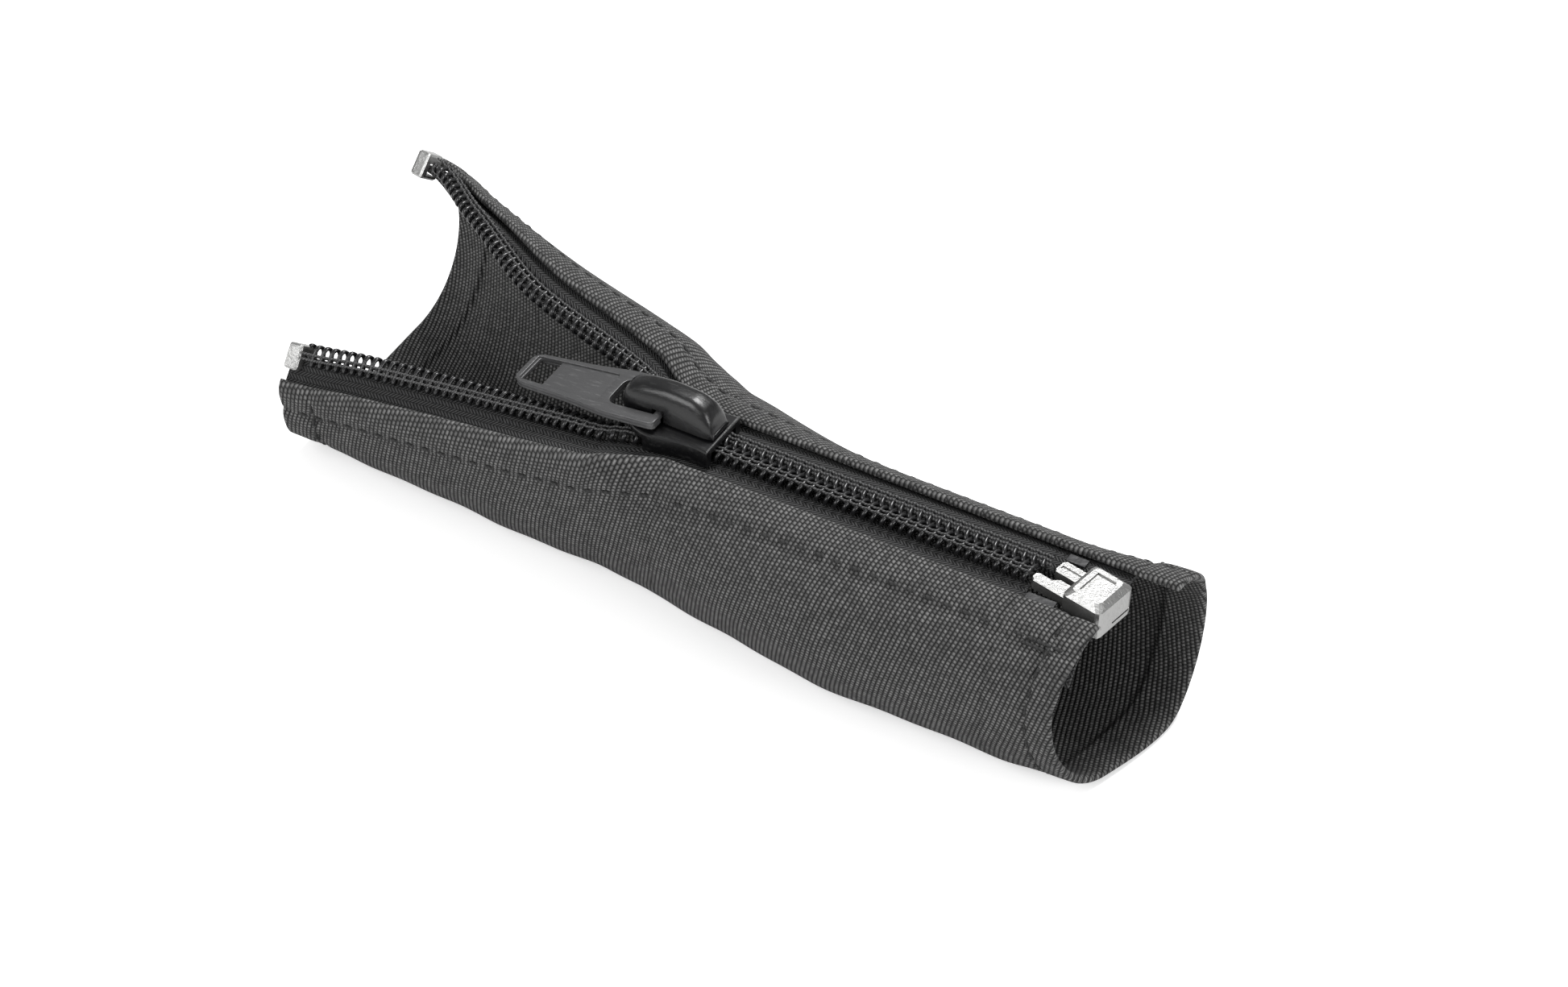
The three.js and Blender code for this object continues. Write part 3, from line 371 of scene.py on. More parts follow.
@dataclass(frozen=True)
class HerringboneTape:
    """Near-black zip tape, woven in narrow chevrons."""

    column: float = 1.6
    pitch: float = 0.6
    # The darker colour is painted shade in the weave's hollows; the crest colour is the tape's own.
    shaded_valley: Colour = (0.002, 0.002, 0.0022)
    crest: Colour = (0.075, 0.075, 0.076)
    relief: float = 0.0003

    def material(self) -> bpy.types.Material:
        """Build the tape's material."""
        g = Graph("herringbone_tape")
        along, across = g.place()
        column = across * (1 / self.column)
        slant = abs(column.fraction() * 2.0 - 1.0)
        weave = (along * (1 / self.pitch) + slant * 1.4).hump(2.0)
        gap = (column * 2.0).hump(8.0)
        height = weave * (gap * 0.6 + 0.4)
        fibre = g.noise(g.point(along, across), 7.0, 2.0)
        # Painted shade: the colour darkens with the weave's height, into the hollows and the grooves between
        # columns; fibre adds random tone.
        colour = g.tint(self.shaded_valley, self.crest, (height * (fibre * 0.6 + 0.6)).clamped())
        return g.finish(
            Base_Color=colour,
            Roughness=0.85,
            Normal=g.bump(height + fibre * 0.2, self.relief),
            Specular_IOR_Level=0.3,
        )


@dataclass(frozen=True)
class CoilNylon:
    """Black monofilament with a moulder's shine and faint draw lines."""

    base: Colour = (0.004, 0.004, 0.0045)
    worn: Colour = (0.016, 0.016, 0.017)

    def material(self) -> bpy.types.Material:
        """Build the coil's material."""
        g = Graph("coil_nylon")
        along, round_wire = g.place()
        lines = g.noise(g.point(along * 0.15, round_wire * 2.0), 2.2, 3.0)
        haze = g.noise(g.on_object(), 900.0, 2.0)
        return g.finish(
            Base_Color=g.tint(self.base, self.worn, lines),
            Roughness=0.2 + 0.16 * haze,
            Normal=g.bump(lines, 0.00002),
            Specular_IOR_Level=0.6,
        )


@dataclass(frozen=True)
class TwistedThread:
    """Sewing thread of two plies."""

    name: str
    # The dark colour is painted shade in the groove between the plies, over the thread's own colour; the
    # light colour is a painted highlight on the ply crowns.
    dark: Colour
    light: Colour
    lay: float = 0.75

    def material(self) -> bpy.types.Material:
        """Build the thread's material."""
        g = Graph(self.name)
        along, round_thread = g.place()
        # ply runs from the groove between plies to each crown; the colour follows it as painted shade and
        # painted highlight.
        ply = (along * (1 / self.lay) + round_thread).hump(2.0)
        fibre = g.noise(g.point(along, round_thread), 6.0, 2.0)
        return g.finish(
            Base_Color=g.tint(self.dark, self.light, (ply * (fibre * 0.5 + 0.7)).clamped()),
            Roughness=0.7,
            Normal=g.bump(ply + fibre * 0.3, 0.00008),
        )


@dataclass(frozen=True)
class CastMetal:
    """Die-cast metal, plated or painted, with small unevenness and scuffs."""

    name: str
    base: Colour
    scuff: Colour
    metallic: float
    rough: float
    spread: float
    grain: float
    coat: float = 0.0

    def material(self) -> bpy.types.Material:
        """Build the metal's material."""
        g = Graph(self.name)
        cloud = g.noise(g.on_object(), 260.0, 3.0)
        fine = g.noise(g.on_object((1.0, 2.5, 1.0)), 1900.0, 3.0, 0.6)
        scuffs = (g.noise(g.on_object((1.0, 6.0, 3.0)), 420.0, 4.0, 0.65) - 0.56) * 7.0
        return g.finish(
            Base_Color=g.tint(self.base, self.scuff, scuffs.clamped() * 0.5),
            Metallic=self.metallic,
            Roughness=(self.rough + self.spread * (cloud - 0.3) + 0.12 * scuffs.clamped()).clamped(),
            Normal=g.bump(cloud * 0.6 + fine * 0.4, self.grain),
            Coat_Weight=self.coat,
            Coat_Roughness=0.04,
        )


METALS = {
    "black": CastMetal(
        name="black_gloss",
        base=(0.004, 0.004, 0.0045),
        scuff=(0.03, 0.03, 0.03),
        metallic=0.0,
        rough=0.3,
        spread=0.12,
        grain=0.00008,
        coat=0.12,
    ),
    "tab": CastMetal(
        name="satin_tab",
        base=(0.1, 0.1, 0.102),
        scuff=(0.2, 0.2, 0.2),
        metallic=0.5,
        rough=0.32,
        spread=0.14,
        grain=0.00008,
    ),
    "silver": CastMetal(
        name="bright_silver",
        base=(0.36, 0.36, 0.355),
        scuff=(0.16, 0.16, 0.16),
        metallic=0.9,
        rough=0.28,
        spread=0.3,
        grain=0.00016,
    ),
    "steel": CastMetal(
        name="spring_steel",
        base=(0.4, 0.4, 0.4),
        scuff=(0.3, 0.3, 0.3),
        metallic=1.0,
        rough=0.3,
        spread=0.1,
        grain=0.00002,
    ),
}


@dataclass(frozen=True)
class FusedFilm:
    """Clear film fused over the tape's last stretch, so dark and half shiny."""

    base: Colour = (0.008, 0.008, 0.009)

    def material(self) -> bpy.types.Material:
        """Build the film's material."""
        g = Graph("fused_film")
        ripple = g.noise(g.on_object(), 700.0, 2.0)
        return g.finish(
            Base_Color=g.tint(self.base, (0.03, 0.03, 0.032), ripple),
            Roughness=0.28 + 0.2 * ripple,
            Normal=g.bump(ripple, 0.0001),
        )


# The sleeve's form, as the solids have it


@dataclass(frozen=True)
class Sizes:
    """The driving sizes, in millimetres, and what follows from them."""

    open_length: float = 72.0
    closed_length: float = 69.5
    girth: float = 95.0
    zip_height: float = 27.0
    cloth: float = 0.8
    hem_extra: float = 0.5
    zip_hem: float = 4.8
    mouth_hem: float = 6.0
    far_hem: float = 6.0
    lap_gap: float = 0.4
    fold: float = 6.0
    pitch: float = 1.5
    wire: float = 0.66
    coil_width: float = 3.6
    coil_height: float = 2.0
    head_overlap: float = 0.8
    coil_lift: float = 0.3
    core: float = 0.5
    tape: float = 0.6
    tape_width: float = 13.5
    tape_inset: float = 1.75
    flat_width: float = 5.8
    slider_length: float = 14.2
    box_length: float = 6.6
    box_width: float = 7.8
    box_setback: float = 5.8
    box_turn: float = 10.0
    pin_length: float = 6.3
    pin_inset: float = 3.9
    notch_run: float = 1.3
    stop_length: float = 2.4
    seat: float = 0.3

    @property
    def far(self) -> float:
        """Place of the far hem's end."""
        return -(self.open_length + self.closed_length) / 2

    @property
    def exit(self) -> float:
        """Place of the slider's closed end."""
        return self.far + self.open_length

    @property
    def mouth(self) -> float:
        """Place of the mouth's rim."""
        return self.exit + self.closed_length

    @property
    def box(self) -> float:
        """Place of the box's near face."""
        return self.mouth - self.box_setback - self.box_length

    @property
    def chain_end(self) -> float:
        """Place where the front row ends."""
        return self.box - self.pin_length

    @property
    def junction(self) -> float:
        """Place inside the slider where the two rows meet."""
        return self.exit - 0.36 * self.slider_length

    @property
    def tape_edge(self) -> float:
        """Distance from the head line to the tape's outer edge."""
        return self.tape_inset + self.tape_width

    @property
    def coil_top(self) -> float:
        """Height of the coil's top above the tape."""
        return self.coil_lift + self.coil_height

    @property
    def coil_middle(self) -> float:
        """Height of the coil's middle above the tape."""
        return self.coil_lift + self.coil_height / 2

    @property
    def coil_centre(self) -> float:
        """Distance from the head line to the coil's middle."""
        return (self.coil_width - self.head_overlap) / 2


@dataclass(frozen=True)
class Station:
    """The section at one place: where each head line runs and how its side leaves and falls."""

    x: float
    front_edge: tuple[float, float]
    front_slope: float
    front_carry: float
    front_side: tuple[float, float]
    front_turn: float
    rear_edge: tuple[float, float]
    rear_slope: float
    rear_carry: float
    rear_side_rise: float
    rear_turn: float


def stations(s: Sizes) -> list[Station]:
    """The sections that the form runs through.

    Args:
        s: The driving sizes.

    Returns:
        Stations from the far hem to the mouth.
    """
    x, o, c, k = s.exit, s.open_length, s.closed_length, s.slider_length
    return [
        Station(s.far, (-3.7, -6.5), -50, 2, (-7.4, -16.5), 10, (28.5, 6), -38, 1, -12, 13),
        Station(x - 0.8 * o, (-3.6, -4.4), -42, 2.3, (-8.3, -15.8), 9.5, (20.7, 5.5), -18, 1, -9.5, 12.5),
        Station(x - 0.55 * o, (-3.3, -2.3), -32, 2.5, (-9.3, -15), 9, (11.4, 3.5), 8, 2.5, -8, 12),
        Station(x - 1.6 * k, (-3.5, -0.9), -12, 1.5, (-10, -14), 9, (6.9, 1.9), 6, 4.5, -9, 11),
        Station(x - 1.2 * k, (-3.8, -0.4), -5, 1.7, (-10.2, -14), 9, (5.2, 1.2), 5, 5.5, -9.5, 11),
        Station(x - 0.95 * k, (-3, 0), 0, 2, (-10.4, -14), 9, (3.3, 0.3), 2, 6.5, -10, 11),
        Station(x - 0.7 * k, (-1.5, 0), 0, 2, (-10.6, -14), 9, (1.5, 0), 0, 6.5, -10.5, 11),
        Station(s.junction, (0, 0), 0, 2.5, (-11.5, -13.5), 9, (0, 0), 0, 5, -11, 11),
        Station(x + 0.2 * c, (0, 0), 0, 4.5, (-15, -13), 9, (0, 0), 0, 1, -13, 11),
        Station(x + 0.35 * c, (0, 0), 0, 5, (-16, -13), 9, (0, 0), 0, 0.5, -13, 11),
        Station(x + 0.75 * c, (0, 0), 0, 5, (-15.7, -13), 9, (0, 0), 0, 0.5, -13, 11),
        Station(s.mouth, (0, 0), 0, 4.5, (-15.2, -13.5), 9, (0, 0), 0, 4.5, -11, 10),
    ]


def smooth_through(xs: Sequence[float], ys: Sequence[float], at: np.ndarray) -> np.ndarray:
    """A cubic through points that never overshoots them.

    Args:
        xs: Places of the points, rising.
        ys: Their values.
        at: Where it is read.

    Returns:
        The values there.
    """
    xs, ys = np.asarray(xs, float), np.asarray(ys, float)
    steps = np.diff(ys) / np.diff(xs)
    slopes = np.zeros(len(ys))
    before, after = steps[:-1], steps[1:]
    same = before * after > 0
    slopes[1:-1][same] = 2 * before[same] * after[same] / (before[same] + after[same])
    at = np.clip(np.asarray(at, float), xs[0], xs[-1])
    i = np.clip(np.searchsorted(xs, at, side="right") - 1, 0, len(ys) - 2)
    width = xs[i + 1] - xs[i]
    t = (at - xs[i]) / width
    bend = slopes[i] * t * (1 - t) ** 2 - slopes[i + 1] * t * t * (1 - t)
    return ys[i] + (ys[i + 1] - ys[i]) * t * t * (3 - 2 * t) + width * bend


def smoothstep(value: np.ndarray, low: float, high: float) -> np.ndarray:
    """A smooth rise from 0 at low to 1 at high.

    Args:
        value: Where it is read.
        low: Where the rise starts.
        high: Where it ends.

    Returns:
        The share.
    """
    t = np.clip((np.asarray(value, float) - low) / (high - low), 0, 1)
    return t * t * (3 - 2 * t)


class SleeveForm:
    """The surface at the level of the tape's upper face, and the head lines of both rows."""

    FOLD_DRAW = 5.0
    SIDE_DRAW = 8.3
    SIDE_SHARE = 0.2
    BOTTOM_SHARE = 0.6
    ROUND = 0.55

    def __init__(self, sizes: Sizes) -> None:
        """Read the stations once.

        Args:
            sizes: The driving sizes.
        """
        self.s = sizes
        self.rows = stations(sizes)
        self.xs = np.array([row.x for row in self.rows])
        self.kept: dict[float, tuple[np.ndarray, np.ndarray, np.ndarray]] = {}

    def read(self, name: str, x: np.ndarray, part: int | None = None) -> np.ndarray:
        """A station value at any place, by a cubic that never overshoots.

        Args:
            name: The value's name.
            x: Places along the sleeve.
            part: Which of a pair.

        Returns:
            The values.
        """
        raw = [getattr(row, name) for row in self.rows]
        return smooth_through(self.xs, [value if part is None else value[part] for value in raw], x)

    def edge(self, side: Side, x: np.ndarray) -> tuple[np.ndarray, np.ndarray]:
        """A row's head line and the way its tape leaves it.

        Args:
            side: Which row.
            x: Places along the sleeve.

        Returns:
            Points and directions in y and z.
        """
        name = "front" if side is Side.FRONT else "rear"
        across = self.read(name + "_edge", x, 0)
        rise = self.read(name + "_edge", x, 1)
        slope = np.radians(self.read(name + "_slope", x))
        at = np.stack([across, self.s.zip_height + rise], -1)
        return at, np.stack([side.value * np.cos(slope), np.sin(slope)], -1)

    @staticmethod
    def cubic(a: np.ndarray, b: np.ndarray, c: np.ndarray, d: np.ndarray, count: int) -> np.ndarray:
        """Points on a cubic curve, without its last one."""
        t = np.linspace(0, 1, count, endpoint=False)[:, None]
        return (1 - t) ** 3 * a + 3 * (1 - t) ** 2 * t * b + 3 * (1 - t) * t * t * c + t**3 * d

    def fall(
        self, flat: np.ndarray, away: np.ndarray, carry: float, side: np.ndarray, count: int
    ) -> np.ndarray:
        """The stretch from the zip's flat strip to the side's widest place."""
        drop = abs(flat[1] - side[1]) * self.ROUND
        return self.cubic(flat, flat + away * carry, side + np.array([0, drop]), side, count)

    def turn(self, side: np.ndarray, ground: np.ndarray, count: int) -> np.ndarray:
        """The quarter turn from the side to the flat underside."""
        leave = np.array([side[0], side[1] + (ground[1] - side[1]) * self.ROUND])
        arrive = np.array([ground[0] + (side[0] - ground[0]) * self.ROUND, ground[1]])
        return self.cubic(side, leave, arrive, ground, count)

    def outline(self, x: float, reach: float, count: int) -> np.ndarray:
        """The section's line from the front head line, under the sleeve, to the rear one.

        Args:
            x: Place along the sleeve.
            reach: Where the rear side is widest.
            count: Points in each stretch.

        Returns:
            Points in y and z.
        """
        s = self.s
        level = s.cloth + s.lap_gap
        at_f, away_f = (v[0] for v in self.edge(Side.FRONT, np.array([x])))
        at_r, away_r = (v[0] for v in self.edge(Side.REAR, np.array([x])))
        one = lambda name, part=None: float(self.read(name, np.array([x]), part)[0])
        side_f = np.array([one("front_side", 0), s.zip_height + one("front_side", 1)])
        side_r = np.array([reach, s.zip_height + one("rear_side_rise")])
        start = np.array([side_f[0] + one("front_turn"), level])
        end = np.array([side_r[0] - one("rear_turn"), level])
        flat_f = at_f + away_f * s.flat_width
        flat_r = at_r + away_r * s.flat_width
        straight = lambda a, b: a + (b - a) * np.linspace(0, 1, count, endpoint=False)[:, None]
        front = [straight(at_f, flat_f), self.fall(flat_f, away_f, one("front_carry"), side_f, count)]
        rear = [straight(at_r, flat_r), self.fall(flat_r, away_r, one("rear_carry"), side_r, count)]
        front.append(self.turn(side_f, start, count))
        rear.append(self.turn(side_r, end, count))
        back = np.concatenate(rear)[::-1]
        return np.concatenate([*front, straight(start, end), end[None], back])

    def section(self, x: float) -> tuple[np.ndarray, np.ndarray, np.ndarray]:
        """The section whose rear side stands as far out as the cloth's girth lets it.

        Args:
            x: Place along the sleeve.

        Returns:
            Distances along the line, and its y and z.
        """
        key = round(float(x), 4)
        if key not in self.kept:
            across = float(self.read("rear_edge", np.array([x]), 0)[0])
            near, far = across - self.s.girth / 4, across + self.s.girth / 2
            for _ in range(20):
                middle = (near + far) / 2
                line = self.outline(x, middle, 14)
                long = np.linalg.norm(np.diff(line, axis=0), axis=1).sum() > self.s.girth
                near, far = (near, middle) if long else (middle, far)
            line = self.outline(x, near, 48)
            run = np.concatenate([[0], np.cumsum(np.linalg.norm(np.diff(line, axis=0), axis=1))])
            self.kept[key] = (run * self.s.girth / run[-1], line[:, 0], line[:, 1])
        return self.kept[key]

    def points(self, x: float, distance: np.ndarray, lift: np.ndarray) -> np.ndarray:
        """Points on or above the surface.

        Args:
            x: Place along the sleeve.
            distance: Distances from the front head line.
            lift: Heights outwards from the tape's upper face.

        Returns:
            An array of points, in millimetres.
        """
        run, ys, zs = self.section(x)
        reach = 0.3
        lo = np.clip(distance - reach, 0, self.s.girth)
        hi = np.clip(distance + reach, 0, self.s.girth)
        dy = np.interp(hi, run, ys) - np.interp(lo, run, ys)
        dz = np.interp(hi, run, zs) - np.interp(lo, run, zs)
        size = np.hypot(dy, dz)
        y = np.interp(distance, run, ys) + dz / size * lift
        z = np.interp(distance, run, zs) - dy / size * lift
        return np.stack([np.full_like(y, x), y, z], -1)

    def mouth_shift(self, x: float, distance: np.ndarray) -> np.ndarray:
        """How far the rim's front is drawn back.

        Args:
            x: Place along the sleeve.
            distance: Distances round the section.

        Returns:
            Shifts along the sleeve.
        """
        share = distance / self.s.girth
        near = float(smoothstep(x, self.s.mouth - 3 * self.s.mouth_hem, self.s.mouth))
        to_side = self.FOLD_DRAW + (self.SIDE_DRAW - self.FOLD_DRAW) * np.minimum(share / self.SIDE_SHARE, 1)
        return -near * to_side * (1 - smoothstep(share, self.SIDE_SHARE, self.BOTTOM_SHARE))

    def chain_end(self, side: Side) -> float:
        """Where a row ends beside its pin."""
        return self.s.chain_end + (self.s.pitch if side is Side.REAR else 0.0)


@dataclass
class HeadLine:
    """A row's head line, measured along itself from the row's closed end."""

    form: SleeveForm
    side: Side
    step: float = 0.25
    points: np.ndarray = field(init=False)
    away: np.ndarray = field(init=False)
    travelled: np.ndarray = field(init=False)

    def __post_init__(self) -> None:
        """Walk the line once."""
        start = self.form.chain_end(self.side)
        x = start - self.step * np.arange(math.ceil((start - self.form.s.far) / self.step) + 1)
        at, away = self.form.edge(self.side, x)
        self.points = np.column_stack([x, at])
        self.away = np.column_stack([np.zeros(len(x)), away])
        steps = np.linalg.norm(np.diff(self.points, axis=0), axis=1)
        self.travelled = np.concatenate([[0], np.cumsum(steps)])

    @property
    def length(self) -> float:
        """The length that the chain may take, up to the stop."""
        return float(self.travelled[-1]) - self.form.s.stop_length - 2 * self.form.s.seat

    def frames(self, distance: np.ndarray) -> tuple[np.ndarray, np.ndarray, np.ndarray, np.ndarray]:
        """Places and axes of the line.

        Args:
            distance: Distances along it.

        Returns:
            Origins, and unit vectors along, away and up.
        """
        blend = lambda grid, at: np.stack([np.interp(at, self.travelled, grid[:, k]) for k in range(3)], -1)
        origin = blend(self.points, distance)
        along = blend(self.points, distance - 0.3) - blend(self.points, distance + 0.3)
        along /= np.linalg.norm(along, axis=1, keepdims=True)
        away = blend(self.away, distance)
        away -= along * (away * along).sum(1, keepdims=True)
        away /= np.linalg.norm(away, axis=1, keepdims=True)
        up = np.cross(along, away)
        up *= np.where(up[:, 2:] < 0, -1.0, 1.0)
        return origin, along, away, up


# Meshes


def write_mesh(
    name: str,
    points: np.ndarray,
    quads: np.ndarray,
    place: np.ndarray,
    finish: bpy.types.Material,
    flat: int = 0,
) -> bpy.types.Object:
    """Make an object from points and quads.

    Args:
        name: The piece's name.
        points: Vertices, in millimetres.
        quads: Four vertex numbers to a face.
        place: Two coordinates for each vertex, for its material.
        finish: The material.
        flat: How many of the last faces are shaded flat.

    Returns:
        The object, linked to the scene.
    """
    mesh = bpy.data.meshes.new(name)
    mesh.vertices.add(len(points))
    mesh.vertices.foreach_set("co", (points * MM).astype(np.float32).ravel())
    mesh.loops.add(quads.size)
    mesh.loops.foreach_set("vertex_index", quads.astype(np.int32).ravel())
    mesh.polygons.add(len(quads))
    mesh.polygons.foreach_set("loop_start", np.arange(0, quads.size, 4, dtype=np.int32))
    mesh.polygons.foreach_set("use_smooth", np.arange(len(quads)) < len(quads) - flat)
    mesh.update(calc_edges=True)
    mesh.validate()
    kept = mesh.attributes.new(PLACE, "FLOAT_VECTOR", "POINT")
    kept.data.foreach_set("vector", np.column_stack([place, np.zeros(len(place))]).astype(np.float32).ravel())
    mesh.materials.append(finish)
    piece = bpy.data.objects.new(name, mesh)
    bpy.context.scene.collection.objects.link(piece)
    return piece


def grid_quads(rows: int, columns: int, start: int = 0, around: bool = False) -> np.ndarray:
    """Quads between the rows and columns of a grid.

    Args:
        rows: Its rows.
        columns: Its columns.
        start: The first vertex's number.
        around: Whether the last column joins the first.

    Returns:
        The faces.
    """
    i, j = np.meshgrid(np.arange(rows - 1), np.arange(columns if around else columns - 1), indexing="ij")
    a = start + i * columns + j
    b = start + i * columns + (j + 1) % columns
    return np.stack([a, b, b + columns, a + columns], -1).reshape(-1, 4)


def shell(outer: np.ndarray, inner: np.ndarray) -> tuple[np.ndarray, np.ndarray]:
    """The closed skin of two grids, with the faces of its two ends last.

    Args:
        outer: Outer grid of points.
        inner: Inner grid of points.

    Returns:
        Points and quads, facing out.
    """
    rows, columns = outer.shape[:2]
    under = rows * columns
    top = grid_quads(rows, columns)
    low = grid_quads(rows, columns, under)[:, ::-1]
    down = np.arange(rows - 1) * columns
    left = np.stack([down, down + columns, down + columns + under, down + under], -1)
    right = (left + columns - 1)[:, ::-1]
    across = np.arange(columns - 1)
    near = np.stack([across, across + under, across + 1 + under, across + 1], -1)
    far = (near + (rows - 1) * columns)[:, ::-1]
    quads = np.concatenate([top, low, left, right, near, far])
    points = np.concatenate([outer.reshape(-1, 3), inner.reshape(-1, 3)])
    a, b, c = (points[top[:, k]] for k in range(3))
    lifted = (outer - inner).reshape(-1, 3)[top[:, 0]]
    if (np.cross(b - a, c - a) * lifted).sum() < 0:
        quads = quads[:, ::-1]
    return points, quads


def tube(
    centres: np.ndarray,
    beside: np.ndarray,
    outward: np.ndarray,
    radii: np.ndarray,
    sides: int,
) -> tuple[np.ndarray, np.ndarray, np.ndarray]:
    """A closed tube round a line.

    Args:
        centres: Points of the line.
        beside: Unit vectors across it.
        outward: Unit vectors across it, square to those.
        radii: Half widths along the two, one pair for each point.
        sides: Faces round it.

    Returns:
        Points, quads and the two coordinates of each point.
    """
    turn = np.arange(sides) / sides * 2 * math.pi
    points = (
        centres[:, None]
        + np.cos(turn)[None, :, None] * beside[:, None] * radii[:, :1, None]
        + np.sin(turn)[None, :, None] * outward[:, None] * radii[:, 1:, None]
    )
    run = np.concatenate([[0], np.cumsum(np.linalg.norm(np.diff(centres, axis=0), axis=1))])
    place = np.stack(np.broadcast_arrays(run[:, None], turn[None] / (2 * math.pi)), -1).reshape(-1, 2)
    ends = np.concatenate([centres[:1], centres[-1:]])
    quads = grid_quads(len(centres), sides, 0, True)
    flat = points.reshape(-1, 3)
    ring = np.arange(0, sides, 2)
    first, last = len(flat), len(flat) + 1
    near = np.stack([np.full(len(ring), first), (ring + 2) % sides, ring + 1, ring], -1)
    base = (len(centres) - 1) * sides
    far = np.stack([np.full(len(ring), last), base + ring, base + ring + 1, base + (ring + 2) % sides], -1)
    quads = np.concatenate([quads, near, far])
    return np.concatenate([flat, ends]), quads, np.concatenate([place, [[0, 0], [run[-1], 0]]])


def stitches(
    centres: np.ndarray,
    along: np.ndarray,
    up: np.ndarray,
    length: float,
    width: float,
    height: float,
) -> tuple[np.ndarray, np.ndarray, np.ndarray]:
    """Short humps of thread, one at each centre.

    Args:
        centres: Their middles.
        along: Unit vectors along each.
        up: Unit vectors out of the cloth.
        length: Length of one.
        width: Width of one.
        height: Height of one.

    Returns:
        Points, quads and the two coordinates of each point.
    """
    rings, sides = 9, 8
    t = np.linspace(-1, 1, rings)
    girth = np.sqrt(np.clip(1 - np.abs(t) ** 3.2, 0.02, 1))
    turn = np.arange(sides) / sides * 2 * math.pi
    up = up - along * (up * along).sum(1, keepdims=True)
    up /= np.linalg.norm(up, axis=1, keepdims=True)
    beside = np.cross(along, up)
    local = np.stack(
        [
            np.broadcast_to(t[:, None] * length / 2, (rings, sides)),
            girth[:, None] * np.cos(turn) * width / 2,
            girth[:, None] * np.sin(turn) * height / 2 - (t[:, None] ** 2) * height * 0.45,
        ],
        -1,
    ).reshape(-1, 3)
    axes = np.stack([along, beside, up], 1)
    points = centres[:, None] + np.einsum("pk,nkc->npc", local, axes)
    quads = grid_quads(rings, sides, 0, True)
    cap = np.array([[0, 3, 2, 1], [0, 5, 4, 3], [0, 7, 6, 5]])
    one = np.concatenate([quads, cap, cap[:, ::-1] + (rings - 1) * sides])
    many = (one[None] + (np.arange(len(centres)) * rings * sides)[:, None, None]).reshape(-1, 4)
    place = np.stack(np.broadcast_arrays(t[:, None] * length / 2, turn[None] / (2 * math.pi)), -1)
    return points.reshape(-1, 3), many, np.tile(place.reshape(-1, 2), (len(centres), 1))


# Sub-assemblies


@dataclass
class Follower:
    """Says what the soft pieces ride on and hides the solids that they replace."""

    s: Sizes
    travel: float = 50.2

    def attach(self, piece: bpy.types.Object, length: Length, slot: str, *nodes: str) -> None:
        """Say how a piece moves and what it stands for.

        Args:
            piece: The piece.
            length: Which length of the sleeve it is.
            slot: Not used.
            nodes: The solids that it replaces.
        """
        end = self.s.chain_end
        split = self.s.junction
        if length is Length.PARTED:
            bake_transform(piece)
        elif length is Length.ZIPPED:
            keep = 1 - self.travel / (end - split)
            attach(piece, "sleeve")
            end * MM
            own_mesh(piece)
        else:
            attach(piece, "sleeve")
        if nodes:
            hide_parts(*nodes)
        LOG.info("%s: %d vertices", piece.name, len(piece.data.vertices))

    def spans(self) -> dict[Length, tuple[float, float]]:
        """Where each length begins and ends along the sleeve."""
        s = self.s
        return {
            Length.PARTED: (s.far, s.junction),
            Length.ZIPPED: (s.junction, s.chain_end),
            Length.MOUTH: (s.chain_end, s.mouth),
        }


